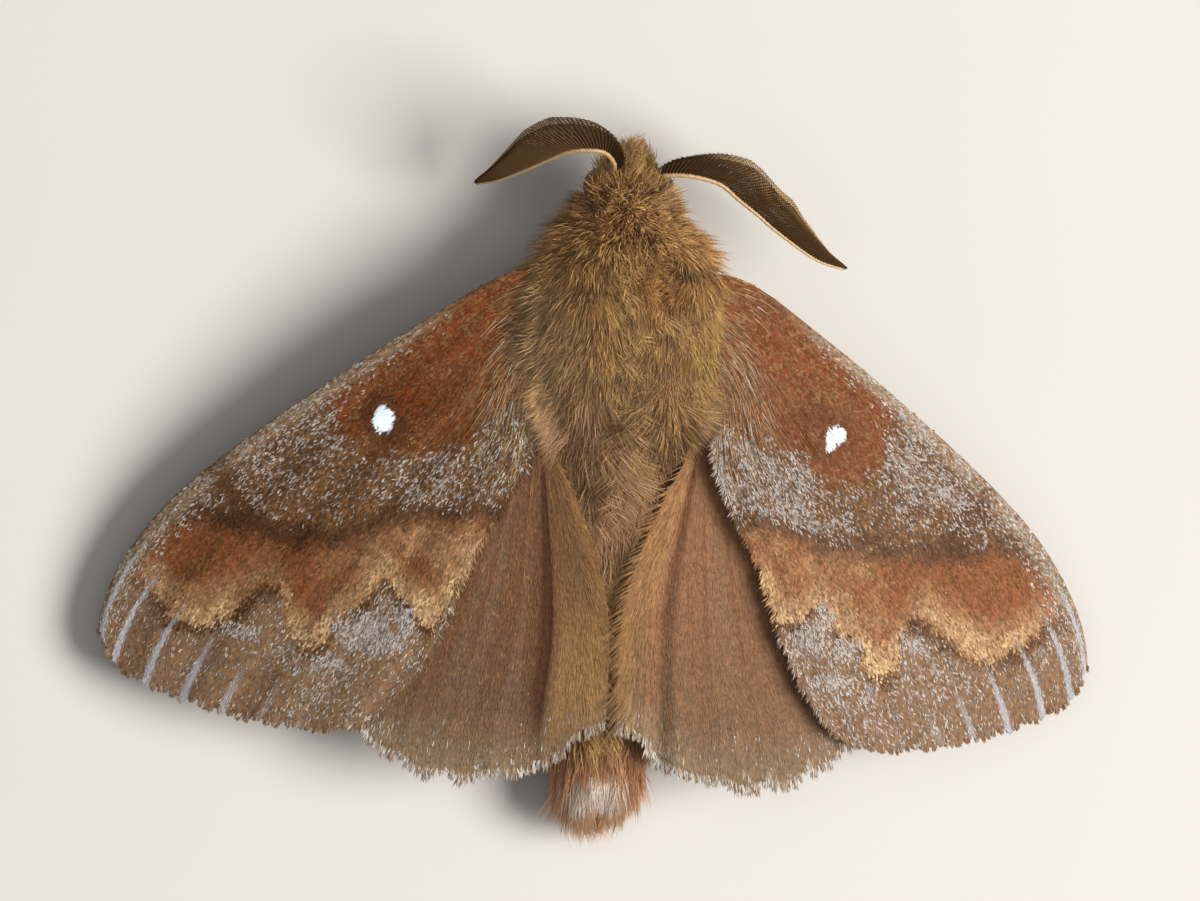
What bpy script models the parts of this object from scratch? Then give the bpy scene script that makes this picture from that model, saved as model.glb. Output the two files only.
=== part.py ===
"""Pine-tree lappet moth, Dendrolimus pini: a male at rest with its wings half open, life size and still.

The head points along +Y, the back up along +Z and the moth's left side along -X. It stands on six
small flat feet at Z = 0, and the origin lies under the middle of its outline. Lengths are in
millimetres up to as_object, which brings each mesh to metres.
"""

import collections
import math
import random

import bmesh
import bpy
from mathutils import Matrix, Vector

MM = 0.001
GAP = 0.3  # left between neighbouring pieces
UP = Vector((0, 0, 1))
FORWARD = Vector((0, 1, 0))
SIDES = (("left", -1), ("right", 1))

# Body cores, without the coat: place along Y, half width, half height and height of the centre.
THORAX = [
    (13.15, 1.6, 1.6, 5.3),
    (12.3, 3.0, 2.7, 5.5),
    (11.0, 3.75, 3.2, 5.6),
    (9.0, 4.2, 3.5, 5.6),
    (6.5, 4.3, 3.5, 5.5),
    (4.0, 3.85, 3.2, 5.2),
    (2.2, 3.1, 2.6, 4.9),
    (1.2, 2.5, 2.1, 4.7),
]
HEAD = [
    (16.3, 0.5, 0.55, 4.75),
    (15.9, 1.1, 1.15, 4.85),
    (15.0, 1.6, 1.6, 5.0),
    (14.0, 1.75, 1.75, 5.1),
    (13.45, 1.5, 1.5, 5.2),
]
ABDOMEN = [
    (0.9, 2.3, 1.95, 4.55),
    (-1.0, 2.5, 1.95, 4.2),
    (-4.0, 2.4, 1.85, 3.75),
    (-8.0, 2.2, 1.75, 3.4),
    (-12.0, 1.95, 1.65, 3.15),
    (-14.5, 1.6, 1.45, 3.0),
    (-15.8, 1.1, 1.05, 2.9),
    (-16.3, 0.5, 0.5, 2.85),
]
CORE_SIDES = 18

# The coat is rows of flat, tapering locks that bend and overlap. A row has its place along Y, the angles of
# its roots from the top, on both sides, whether it lies forward (1) or back (-1), its splay in degrees
# (outwards where it lies forward, and else round the body), the length and width of its locks, and how far
# their middles stand off the core.
Row = collections.namedtuple("Row", "y angles ahead splay length width rise")
THORAX_COAT = [
    Row(12.75, (14, 46), 1, 16, 1.9, 1.2, 0.5),
    Row(12.7, (84, 114), 1, 46, 1.9, 1.2, 0.3),
    Row(11.7, (66, 98), 1, 62, 1.9, 1.4, 0.3),
    Row(12.1, (0, 30), -1, 14, 2.6, 1.5, 0.4),
    Row(10.6, (14,), -1, 18, 2.9, 1.6, 0.5),
    Row(10.6, (42,), -1, 58, 2.7, 1.5, 0.5),
    Row(9.3, (0, 28), -1, 26, 2.9, 1.6, 0.55),
    Row(8.6, (43,), -1, 56, 2.9, 1.5, 0.5),
    Row(7.7, (14,), -1, 20, 3.0, 1.6, 0.55),
    Row(6.8, (43,), -1, 54, 3.0, 1.5, 0.5),
    Row(6.1, (0, 27), -1, 26, 3.0, 1.6, 0.55),
    Row(5.0, (43,), -1, 48, 2.9, 1.5, 0.5),
    Row(4.6, (14,), -1, 14, 2.9, 1.5, 0.55),
    Row(3.1, (0, 30), -1, 12, 2.6, 1.4, 0.55),
    Row(3.3, (46,), -1, 30, 2.5, 1.3, 0.5),
    Row(9.8, (106,), -1, 8, 2.2, 1.3, 0.35),
    Row(7.4, (106,), -1, 8, 2.2, 1.3, 0.35),
    Row(5.0, (101,), -1, 4, 2.2, 1.0, 0.35),
    Row(3.0, (100,), -1, 4, 1.5, 1.0, 0.4),
]
ABDOMEN_COAT = [
    Row(0.1, (0, 28), -1, 4, 2.4, 1.1, 0.15),
    Row(-1.7, (14,), -1, 2, 2.4, 1.0, 0.12),
    Row(-3.3, (0,), -1, 0, 2.6, 1.0, 0.1),
    Row(-0.6, (84, 124), -1, 8, 3.0, 1.3, 0.2),
    Row(-3.4, (76, 112), -1, 8, 3.0, 1.3, 0.2),
    Row(-6.2, (84, 124), -1, 8, 3.0, 1.3, 0.2),
    Row(-9.0, (76, 112), -1, 8, 3.0, 1.3, 0.2),
    Row(-11.6, (40, 84, 124), -1, 8, 3.0, 1.3, 0.3),
    Row(-13.9, (14, 52, 90, 130, 165), -1, 12, 3.3, 1.4, 0.5),
    Row(-15.5, (38, 90, 142), -1, 8, 2.4, 1.2, 0.5),
]
HEAD_COAT = [
    Row(14.9, (0,), 1, 0, 2.0, 0.64, 0.15),
    Row(15.85, (0, 42), 1, 18, 1.05, 0.8, 0.15),
    Row(16.1, (74,), 1, 24, 0.8, 0.7, 0.1),
]
LOCK_SIDES = 4
LOCK_SUNK = 0.5  # of a lock's root below the core's surface
LOCK_DROOP = 0.25  # of its tip below its middle
LOCK_THICKNESS = 0.52
LOCK_SHARES = (0, 0.34, 0.7, 1)  # of the length, at its sections
LOCK_WIDTHS = (0.8, 1, 0.75, 0.1)
LOCK_HEIGHTS = (0.9, 1, 0.9, 0.2)
LOCK_LENGTHS = (0.9, 1.1)  # least and greatest share of a row's length
LOCK_STRAY = {"angle": 3, "place": 0.2, "splay": 4}
STEEPEST_OVER_WING = 0.12  # fall of the locks that lie over the wings' roots
WING_ROOTS_Y = (1.5, 11.2)
SEED = 7

# Eyes.
EYE_RADIUS = 0.95
EYE_CENTRE = Vector((1.35, 14.85, 4.95))
EYE_BACK = 1.15  # the flat inner side of the eye, from the midline
EYE_SEGMENTS, EYE_RINGS = 14, 9

# Palps, on the right side.
PALP_ROOT = (16.0, math.radians(142))  # place along the head, and angle from its top
PALP_REACH = Vector((0.1, 1.0, -0.35))
PALP_BEND = 0.12
PALP_RADII = (0.36, 0.42, 0.16)
PALP_SIDES = 6

# Feelers: a shaft through these points from its root on the head, with two rows of comb teeth.
ANTENNA_ROOT = (15.1, math.radians(40))  # place along the head, and angle from its top
ANTENNA_POINTS = {
    -1: [
        (-1.1, 15.8, 7.6),
        (-1.6, 16.35, 8.3),
        (-2.35, 16.5, 8.6),
        (-3.45, 16.4, 8.3),
        (-4.35, 16.0, 7.5),
        (-5.2, 15.55, 6.5),
        (-6.1, 15.1, 5.4),
        (-6.75, 14.85, 4.6),
        (-7.5, 14.7, 3.7),
    ],
    1: [
        (1.45, 15.45, 7.15),
        (2.35, 15.5, 7.3),
        (3.35, 15.4, 7.2),
        (4.4, 15.1, 7.0),
        (5.4, 14.55, 6.8),
        (6.45, 13.95, 6.6),
        (7.5, 13.25, 6.3),
        (9.6, 11.85, 5.7),
        (11.0, 11.2, 5.3),
    ],
}
SHAFT_RADIUS = 0.27
SHAFT_TIP_RADIUS = 0.18
SHAFT_STEPS = 60
SHAFT_STATIONS = 11
SHAFT_SIDES = 6
SHAFT_UP = Vector((0, 0.3, 1))
COMB_TEETH = 12  # in each of the two rows
COMB_SPAN = (0.09, 0.97)  # of the shaft
COMB_LENGTH = 1.9
COMB_GROWS, COMB_FADES = 0.22, 0.45  # shares of the shaft over which the teeth lengthen and shorten
COMB_SLANT = math.radians(60)  # between a tooth and the shaft, towards the tip
COMB_ROWS = ((math.radians(12), 1), (math.radians(-48), 0.9))  # tilt above the level, and share of the length
TOOTH_RADII = (0.27, 0.1)
TOOTH_SIDES = 4

# Wings, on the right side: outlines as seen from above, out to the ends of the fringe.
WING_THICKNESS = 0.5
VEIN_HEIGHT = 0.22
VEIN_HALF_WIDTH = 0.3
SCALLOP = 0.12  # depth of the outer edge between two veins
EDGE_STEPS = 200
SPREAD = {-1: 1.015, 1: 0.985}  # the left wings reach a little further than the right ones
FOREWING_ROOT_Z = 6.9
HINDWING_UNDER = 1.05  # from the middle of the forewing down to the middle of the hindwing
WING_LEVEL_TO = 4.5  # from the midline, beyond which the wings curve down
WING_DROP = 4.8
WING_DROP_POWER = 1.6
WING_DROP_SPAN = 21.0
ROOF_SLOPE = 0.16  # of the hindwings up to the midline, over the abdomen
FOREWING = {
    "root_ys": (10.8, 9.1, 7.4),
    "costa": [(6.0, 10.3), (10.1, 7.7), (14.2, 4.75), (18.2, 1.65), (21.4, -1.2), (23.4, -3.7), (24.7, -6.2)],
    "apex": (25.25, -8.7),
    "termen": [(24.4, -10.5), (22.4, -11.6), (19.6, -12.5), (16.5, -13.1), (13.9, -13.2)],
    "tornus": (12.0, -12.7),
    "dorsum": [(4.6, 4.5), (4.65, 1.4), (6.0, -1.7), (7.25, -3.9), (8.25, -6.8), (9.65, -9.7)],
    "rows": (0, 0.1, 0.21, 0.32, 0.44, 0.56, 0.68, 0.79, 0.9, 1),
    "breadth": 13.0,
    "cell_end": 0.44,  # where the veins of the middle branch off, as a share of the way out
    "long_veins": (0.03, 0.12, 0.73, 0.91),
    "branches": (0.22, 0.32, 0.42, 0.52, 0.62),
    "creases": (),
}
HINDWING = {
    "root_ys": (6.3, 4.85, 3.4),
    "costa": [(8.0, 3.0), (11.6, -1.6), (14.4, -6.0)],
    "apex": (15.7, -9.6),
    "termen": [
        (14.9, -11.6),
        (13.2, -12.6),
        (11.4, -14.2),
        (8.6, -15.4),
        (5.3, -15.3),
        (3.0, -14.5),
        (1.7, -13.3),
    ],
    "tornus": (0.25, -12.7),
    "dorsum": [(3.4, 1.8), (2.45, -0.4), (1.55, -2.5), (0.75, -4.9), (0.3, -7.2), (0.25, -9.9)],
    "rows": (0, 0.14, 0.3, 0.45, 0.6, 0.75, 0.89, 1),
    "breadth": 14.0,
    "cell_end": 0.3,
    "long_veins": (0.04, 0.65),
    "branches": (0.17, 0.29, 0.41, 0.53),
    "creases": (0.71, 0.78),  # across the wing: where it starts to dip, and the fold up over the abdomen
}
CREASE_DEPTH = 0.65
CREASE_GROWTH = 0.8  # power of the way out with which it deepens, as the wing widens

# Legs, on the right side: the hip's place along the thorax and angle from its top, then the knee, and the
# places of the ankle and toe on the floor.
LEG_HIPS = {
    "front": (11.3, math.radians(146)),
    "mid": (8.3, math.radians(138)),
    "hind": (5.2, math.radians(140)),
}
LEG_KNEES = {"front": (2.7, 12.6, 2.1), "mid": (5.2, 8.5, 3.0), "hind": (4.7, 2.6, 2.8)}
LEG_ANKLES = {"front": (2.5, 13.0), "mid": (6.8, 7.6), "hind": (5.6, -1.4)}
LEG_TOES = {"front": (1.9, 14.4), "mid": (8.6, 6.4), "hind": (6.3, -4.6)}
LEG_RADII = (0.45, 0.56, 0.5, 0.44, 0.34, 0.28)  # from the hip to the toe, evenly spaced
LEG_STRAIGHT = 0.9  # of the thigh, out from the hip
LEG_STATIONS = 13
LEG_SIDES = 8
LEG_UP = Vector((0.12, 0.2, 1))
FOOT_FLAT = 0.12  # cut off the underside of the foot, so that it stands flat at Z = 0

# The colour and roughness of each piece's plain finish, by the first word of its name.
COAT = ((0.30, 0.17, 0.09), 0.8)
FINISHES = {
    "head": COAT,
    "thorax": COAT,
    "abdomen": COAT,
    "palp": COAT,
    "eye": ((0.015, 0.014, 0.016), 0.15),
    "antenna": ((0.16, 0.11, 0.06), 0.7),
    "forewing": ((0.33, 0.16, 0.08), 0.8),
    "hindwing": ((0.36, 0.20, 0.12), 0.8),
    "leg": ((0.25, 0.14, 0.08), 0.8),
}
SMOOTH_UP_TO = math.radians(50)


def clear_scene():
    for old in list(bpy.data.objects):
        bpy.data.objects.remove(old)


def new_collection(name):
    made = bpy.data.collections.new(name)
    bpy.context.scene.collection.children.link(made)
    return made


def finish(obj):
    """Gives obj its own material, and smooth shading but for its sharp edges."""
    colour, roughness = FINISHES[obj.name.split("_")[0]]
    made = bpy.data.materials.new(obj.name)
    made.use_nodes = True
    shader = made.node_tree.nodes["Principled BSDF"]
    shader.inputs["Base Color"].default_value = (*colour, 1)
    shader.inputs["Roughness"].default_value = roughness
    obj.data.materials.append(made)
    obj.data.shade_smooth()
    obj.data.set_sharp_from_angle(angle=SMOOTH_UP_TO)


def as_object(name, bm, collection):
    """The millimetre mesh bm as an object in metres."""
    bmesh.ops.recalc_face_normals(bm, faces=bm.faces)
    bmesh.ops.scale(bm, vec=(MM, MM, MM), verts=bm.verts)
    mesh = bpy.data.meshes.new(name)
    bm.to_mesh(mesh)
    bm.free()
    made = bpy.data.objects.new(name, mesh)
    collection.objects.link(made)
    return made


def mirror_to(bm, side):
    bmesh.ops.scale(bm, vec=(side, 1, 1), verts=bm.verts)


def apply_modifiers(obj):
    evaluated = obj.evaluated_get(bpy.context.evaluated_depsgraph_get())
    baked = bpy.data.meshes.new_from_object(evaluated)
    obj.modifiers.clear()
    obj.data = baked


def cut_flat(bm, place, keep):
    """Cuts a closed mesh at the plane through place, and keeps and closes the side that keep points to."""
    whole = bm.verts[:] + bm.edges[:] + bm.faces[:]
    cutting = bmesh.ops.bisect_plane(bm, geom=whole, plane_co=place, plane_no=keep, clear_inner=True)
    rim = [e for e in cutting["geom_cut"] if isinstance(e, bmesh.types.BMEdge)]
    bmesh.ops.edgeloop_fill(bm, edges=rim)


def cut_out(obj, cutter):
    """Takes the cutter out of obj, and removes the cutter."""
    boolean = obj.modifiers.new("Cut", "BOOLEAN")
    boolean.operation = "DIFFERENCE"
    boolean.object = cutter
    apply_modifiers(obj)
    bpy.data.objects.remove(cutter)


def fuse(obj, pieces):
    """Joins a collection of closed meshes to obj, and removes them."""
    boolean = obj.modifiers.new("Join", "BOOLEAN")
    boolean.operation = "UNION"
    boolean.operand_type = "COLLECTION"
    boolean.collection = pieces
    apply_modifiers(obj)
    for piece in list(pieces.objects):
        bpy.data.objects.remove(piece)
    bpy.data.collections.remove(pieces)
    keep_largest(obj)


def keep_largest(obj):
    """Leaves only the largest closed surface of obj."""
    bm = bmesh.new()
    bm.from_mesh(obj.data)
    left = set(bm.faces)
    islands = []
    while left:
        front = [left.pop()]
        island = set(front)
        while front:
            near = {f for e in front.pop().edges for f in e.link_faces} & left
            left -= near
            island |= near
            front.extend(near)
        islands.append(island)
    islands.sort(key=len, reverse=True)
    scraps = [face for island in islands[1:] for face in island]
    bmesh.ops.delete(bm, geom=scraps, context="FACES")
    bm.to_mesh(obj.data)
    bm.free()


def between(low, high, share):
    return low + (high - low) * share


def spread_over(values, share):
    """The value at a share, from 0 to 1, of the way along evenly spaced values."""
    place = share * (len(values) - 1)
    i = min(int(place), len(values) - 2)
    return between(values[i], values[i + 1], place - i)


def smooth(points, steps=12):
    """A Catmull-Rom curve through points, with steps in each stretch."""
    ends = [points[0] * 2 - points[1], *points, points[-1] * 2 - points[-2]]
    made = []
    for a, b, c, d in zip(ends, ends[1:], ends[2:], ends[3:]):
        for k in range(steps):
            u = k / steps
            bend = (c - a) * u + (2 * a - 5 * b + 4 * c - d) * u**2 + (3 * b - a - 3 * c + d) * u**3
            made.append(b + bend / 2)
    return [*made, points[-1].copy()]


def through(points, count):
    """count points spaced evenly along the smooth curve through points."""
    fine = smooth(points)
    reach = [0.0]
    for a, b in zip(fine, fine[1:]):
        reach.append(reach[-1] + (b - a).length)
    made = []
    i = 0
    for k in range(count):
        want = reach[-1] * k / (count - 1)
        while i < len(fine) - 2 and reach[i + 1] < want:
            i += 1
        made.append(fine[i].lerp(fine[i + 1], (want - reach[i]) / (reach[i + 1] - reach[i])))
    return made


def along(stations, y):
    """A core's half width, half height and centre height at y."""
    ordered = sorted(stations)
    y = min(max(y, ordered[0][0]), ordered[-1][0])
    before, after = next(pair for pair in zip(ordered, ordered[1:]) if y <= pair[1][0])
    share = (y - before[0]) / (after[0] - before[0])
    return [between(a, b, share) for a, b in zip(before[1:], after[1:])]


def core_point(stations, y, angle):
    width, height, centre = along(stations, y)
    return Vector((width * math.sin(angle), y, centre + height * math.cos(angle)))


def on_core(stations, y, angle):
    """The point of a core's surface at y, angle from the top towards +X, and its outward direction."""
    step = 0.05
    around = core_point(stations, y, angle + step) - core_point(stations, y, angle - step)
    ahead = core_point(stations, y + step, angle) - core_point(stations, y - step, angle)
    return core_point(stations, y, angle), around.cross(ahead).normalized()


def core_side(stations, y, z):
    """Half the width of a core at y and height z."""
    width, height, centre = along(stations, y)
    return width * math.sqrt(max(0, 1 - ((z - centre) / height) ** 2))


def ring(bm, centre, side, top, sides):
    """The edges of an ellipse whose half axes are the vectors side and top."""
    frame = Matrix((side, top, side.cross(top).normalized())).transposed().to_4x4()
    frame.translation = centre
    verts = bmesh.ops.create_circle(bm, segments=sides, radius=1, matrix=frame)["verts"]
    return list({edge for vert in verts for edge in vert.link_edges})


def close_over(bm, rings):
    """Bridges neighbouring rings and fills the first and the last."""
    for first, second in zip(rings, rings[1:]):
        bmesh.ops.bridge_loops(bm, edges=first + second)
    for end in (rings[0], rings[-1]):
        bmesh.ops.edgeloop_fill(bm, edges=end)


def tube(centres, widths, heights, up, sides):
    """A closed tube of elliptic rings square to its path, their sides square to up."""
    bm = bmesh.new()
    rings = []
    for i, centre in enumerate(centres):
        ahead = (centres[min(i + 1, len(centres) - 1)] - centres[max(i - 1, 0)]).normalized()
        side = up.cross(ahead).normalized()
        rings.append(ring(bm, centre, side * widths[i], ahead.cross(side) * heights[i], sides))
    close_over(bm, rings)
    return bm


def body_core(name, stations, collection):
    bm = bmesh.new()
    rings = []
    for y, width, height, z in stations:
        rings.append(ring(bm, Vector((0, y, z)), Vector((width, 0, 0)), Vector((0, 0, height)), CORE_SIDES))
    close_over(bm, rings)
    return as_object(name, bm, collection)


def lock(name, root, normal, lie, length, width, rise, pieces):
    """One lock of fur from root, along lie, with a flattened diamond section."""
    lifts = (-LOCK_SUNK, rise * 0.8, rise, rise - LOCK_DROOP)
    points = [root + lie * (length * share) + normal * lift for share, lift in zip(LOCK_SHARES, lifts)]
    widths = [width / 2 * share for share in LOCK_WIDTHS]
    heights = [LOCK_THICKNESS / 2 * share for share in LOCK_HEIGHTS]
    as_object(name, tube(points, widths, heights, normal, LOCK_SIDES), pieces)


def lie_of(row, turn, normal, splay):
    """The direction in which a lock lies from its root."""
    if row.ahead > 0:
        line, outward = FORWARD, Vector((normal.x, 0, normal.z)).normalized()
    else:
        around = FORWARD.cross(normal).normalized()
        line, outward = around.cross(normal), around * math.copysign(1, turn)
    lie = line * math.cos(splay) + outward * math.sin(splay)
    over_wing = abs(turn) < 90 and WING_ROOTS_Y[0] < row.y < WING_ROOTS_Y[1]
    if over_wing:
        lie.z = max(lie.z, -STEEPEST_OVER_WING)
    return lie.normalized()


def coat(obj, stations, rows):
    """Fuses rows of locks to a core."""
    draw = random.Random(SEED)
    stray = {what: (-most, most) for what, most in LOCK_STRAY.items()}
    pieces = new_collection(obj.name + "_locks")
    for row in rows:
        turns = [side * angle for angle in row.angles for _, side in SIDES if angle or side > 0]
        for turn in turns:
            angle = math.radians(turn + draw.uniform(*stray["angle"]))
            root, normal = on_core(stations, row.y + draw.uniform(*stray["place"]), angle)
            splay = math.radians(row.splay + draw.uniform(*stray["splay"])) if turn else 0
            lie = lie_of(row, turn, normal, splay)
            length = row.length * draw.uniform(*LOCK_LENGTHS)
            name = f"{obj.name}_lock_{len(pieces.objects)}"
            lock(name, root, normal, lie, length, row.width, row.rise, pieces)
    fuse(obj, pieces)


def eye(name, side, margin, collection):
    """A dome with its flat side towards the midline, larger all round by margin."""
    bm = bmesh.new()
    bmesh.ops.create_uvsphere(bm, u_segments=EYE_SEGMENTS, v_segments=EYE_RINGS, radius=EYE_RADIUS + margin)
    bmesh.ops.translate(bm, vec=EYE_CENTRE, verts=bm.verts)
    cut_flat(bm, (EYE_BACK - margin, 0, 0), (1, 0, 0))
    mirror_to(bm, side)
    return as_object(name, bm, collection)


def head(collection):
    """The head with its brow tuft and a socket behind each eye."""
    made = body_core("head", HEAD, collection)
    coat(made, HEAD, HEAD_COAT)
    for label, side in SIDES:
        cut_out(made, eye("socket_" + label, side, GAP, collection))


def palp(name, side, collection):
    """A short furry feeler below the brow."""
    surface, outward = on_core(HEAD, *PALP_ROOT)
    root = surface + outward * GAP
    tip = root + PALP_REACH
    middle = root.lerp(tip, 0.45) + outward * PALP_BEND
    bm = tube([root, middle, tip], PALP_RADII, PALP_RADII, UP, PALP_SIDES)
    mirror_to(bm, side)
    as_object(name, bm, collection)


def shaft_path(side):
    place, angle = ANTENNA_ROOT
    surface, outward = on_core(HEAD, place, angle * side)
    root = surface + outward * (GAP + SHAFT_RADIUS / 3)
    points = [Vector(point) for point in ANTENNA_POINTS[side]]
    return through([root, root + outward * SHAFT_RADIUS, *points], SHAFT_STEPS)


def comb_length(share):
    """Length of a comb tooth at a share of the shaft: they grow near its base and shorten to its tip."""
    grown = min(1, share / COMB_GROWS) ** 0.8
    fading = min(1, (1.04 - share) / COMB_FADES) ** 0.7
    return COMB_LENGTH * grown * fading


def tooth(name, root, aim, length, pieces):
    bm = bmesh.new()
    frame = aim.to_track_quat("Z", "Y").to_matrix().to_4x4()
    frame.translation = root + aim * length / 2
    thick, thin = TOOTH_RADII
    bmesh.ops.create_cone(
        bm, cap_ends=True, segments=TOOTH_SIDES, radius1=thick, radius2=thin, depth=length, matrix=frame
    )
    as_object(name, bm, pieces)


def antenna(name, side, collection):
    """A shaft with two rows of comb teeth that close towards each other like a V."""
    path = shaft_path(side)
    last = len(path) - 1
    stations = [path[round(last * k / (SHAFT_STATIONS - 1))] for k in range(SHAFT_STATIONS)]
    radii = [between(SHAFT_RADIUS, SHAFT_TIP_RADIUS, k / (SHAFT_STATIONS - 1)) for k in range(SHAFT_STATIONS)]
    shaft = as_object(name, tube(stations, radii, radii, SHAFT_UP, SHAFT_SIDES), collection)
    teeth = new_collection(name + "_teeth")
    for k in range(COMB_TEETH):
        share = between(*COMB_SPAN, k / (COMB_TEETH - 1))
        i = round(share * last)
        ahead = (path[min(i + 1, last)] - path[i - 1]).normalized()
        outward = ahead.cross(UP).normalized() * -side
        above = outward.cross(ahead).normalized() * side
        for row, (tilt, size) in enumerate(COMB_ROWS):
            across = outward * math.cos(tilt) + above * math.sin(tilt)
            aim = ahead * math.cos(COMB_SLANT) + across * math.sin(COMB_SLANT)
            tooth(f"{name}_tooth_{row}_{k}", path[i], aim, comb_length(share) * size, teeth)
    fuse(shaft, teeth)


def wing_edges(shape, middle_z):
    """The four edge curves of a wing, from a root GAP beside the thorax all along the wing's underside."""
    root = [(core_side(THORAX, y, middle_z - WING_THICKNESS / 2) + GAP, y) for y in shape["root_ys"]]
    runs = {
        "root": root,
        "costa": [root[0], *shape["costa"], shape["apex"]],
        "dorsum": [root[-1], *shape["dorsum"], shape["tornus"]],
        "termen": [shape["apex"], *shape["termen"], shape["tornus"]],
    }
    return {name: through([Vector((*p, 0)) for p in run], EDGE_STEPS + 1) for name, run in runs.items()}


def at(curve, share):
    place = share * EDGE_STEPS
    i = min(int(place), EDGE_STEPS - 1)
    return curve[i].lerp(curve[i + 1], place - i)


def in_wing(edges, s, t):
    """The point of a wing s of the way from root to termen and t from costa to dorsum, by Coons' rule."""
    costa, dorsum = at(edges["costa"], s), at(edges["dorsum"], s)
    root, termen = at(edges["root"], t), at(edges["termen"], t)
    near = at(edges["root"], 0) * (1 - t) + at(edges["root"], 1) * t
    far = at(edges["termen"], 0) * (1 - t) + at(edges["termen"], 1) * t
    return costa * (1 - t) + dorsum * t + root * (1 - s) + termen * s - near * (1 - s) - far * s


def forewing_height(x, s, t):
    out = max(0, x - WING_LEVEL_TO) / WING_DROP_SPAN
    return FOREWING_ROOT_Z - WING_DROP * out**WING_DROP_POWER


def hindwing_height(x, s, t):
    """It runs under the forewing, dips to its crease and rises to the midline over the abdomen."""
    start, bottom = HINDWING["creases"]
    near = max(0, min((t - start) / (bottom - start), (1 - t) / (1 - bottom)))
    dip = CREASE_DEPTH * near * s**CREASE_GROWTH
    roof = ROOF_SLOPE * max(0, WING_LEVEL_TO - x)
    return forewing_height(x, s, t) - HINDWING_UNDER + roof - dip


def wing_columns(shape):
    """Where the mesh has a line across the wing, and for a vein's crest how far out the vein starts."""
    foot = VEIN_HALF_WIDTH / shape["breadth"]
    veins = {t: 0.0 for t in shape["long_veins"]}
    veins.update({t: shape["cell_end"] for t in shape["branches"]})
    feet = [t + way * foot for t in veins for way in (-1, 1)]
    plain = [0, 1, *shape["creases"], *(t for t in feet if 0.01 < t < 0.99)]
    return sorted([(t, None) for t in plain] + list(veins.items()))


def vein_rise(s, start):
    """Height of a vein's crest above the membrane, less towards the root and at the edge."""
    if start is None or s == 0 or s < start:
        return 0
    return VEIN_HEIGHT * min(1, 0.3 + s) * (1 if s < 1 else 0.3)


def wing(name, side, shape, height_at, middle_z, collection):
    """A wing of even thickness, triangulated alike on both faces, its veins raised in the upper one."""
    edges = wing_edges(shape, middle_z)
    columns = wing_columns(shape)
    places = [(s, t, start) for s in shape["rows"] for t, start in columns]
    bm = bmesh.new()
    bmesh.ops.create_grid(bm, x_segments=len(columns) - 1, y_segments=len(shape["rows"]) - 1, size=1)
    bm.verts.index_update()
    root_x = edges["root"][0].x
    verts = sorted(bm.verts, key=lambda v: (round(v.co.y, 4), round(v.co.x, 4)))
    rises = {}
    for vert, (s, t, start) in zip(verts, places):
        point = in_wing(edges, s, t)
        if s == 1 and 0 < t < 1 and start is None:
            inward = in_wing(edges, shape["rows"][-2], t) - point
            point += inward.normalized() * SCALLOP
        out = point.x - root_x
        x = root_x + out * (SPREAD[side] if out > 0 else 1)
        vert.co = (x * side, point.y, height_at(x, s, t))
        rises[vert.index] = vein_rise(s, start)
    bmesh.ops.triangulate(bm, faces=bm.faces)
    made = as_object(name, bm, collection)
    shell = made.modifiers.new("Thickness", "SOLIDIFY")
    shell.thickness = WING_THICKNESS * MM
    shell.offset = 0
    apply_modifiers(made)
    raise_veins(made, rises)


def raise_veins(obj, rises):
    """Lifts the upper one of each pair of facing vertices; Solidify adds the second of each pair in order."""
    verts = obj.data.vertices
    for i, rise in rises.items():
        upper = max(verts[i], verts[i + len(rises)], key=lambda v: v.co.z)
        upper.co.z += rise * MM


def leg(name, side, pair, collection):
    """Thigh, shin and foot in one bent tube, flat under the foot."""
    surface, outward = on_core(THORAX, *LEG_HIPS[pair])
    hip = surface + outward * GAP
    ankle = Vector((*LEG_ANKLES[pair], LEG_RADII[-2] - FOOT_FLAT / 2))
    toe = Vector((*LEG_TOES[pair], LEG_RADII[-1] - FOOT_FLAT))
    points = through([hip, hip + outward * LEG_STRAIGHT, Vector(LEG_KNEES[pair]), ankle, toe], LEG_STATIONS)
    radii = [spread_over(LEG_RADII, k / (LEG_STATIONS - 1)) for k in range(LEG_STATIONS)]
    bm = tube(points, radii, radii, LEG_UP, LEG_SIDES)
    cut_flat(bm, (0, 0, 0), UP)
    mirror_to(bm, side)
    as_object(name, bm, collection)


def main():
    clear_scene()
    moth = new_collection("moth")
    coat(body_core("thorax", THORAX, moth), THORAX, THORAX_COAT)
    coat(body_core("abdomen", ABDOMEN, moth), ABDOMEN, ABDOMEN_COAT)
    head(moth)
    hindwing_z = FOREWING_ROOT_Z - HINDWING_UNDER
    for label, side in SIDES:
        eye("eye_" + label, side, 0, moth)
        palp("palp_" + label, side, moth)
        antenna("antenna_" + label, side, moth)
        wing("forewing_" + label, side, FOREWING, forewing_height, FOREWING_ROOT_Z, moth)
        wing("hindwing_" + label, side, HINDWING, hindwing_height, hindwing_z, moth)
        for pair in LEG_HIPS:
            leg(f"leg_{pair}_{label}", side, pair, moth)
    for piece in moth.objects:
        finish(piece)


main()
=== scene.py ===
"""The looks of the pine-tree lappet moth, Dendrolimus pini: a male at rest, its wings half open.

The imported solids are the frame. Round them this script grows one skin with its coat of fur, thin veined
wings with their scales and fringes, combed feelers, faceted eyes and furry legs with claws. Sizes are in
millimetres until a mesh is written, in metres. The head points along +Y, the back up along +Z and the
moth's left side along -X.
"""

import functools
import math

import bpy
import numpy as np
from mathutils import Matrix, Vector


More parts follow.
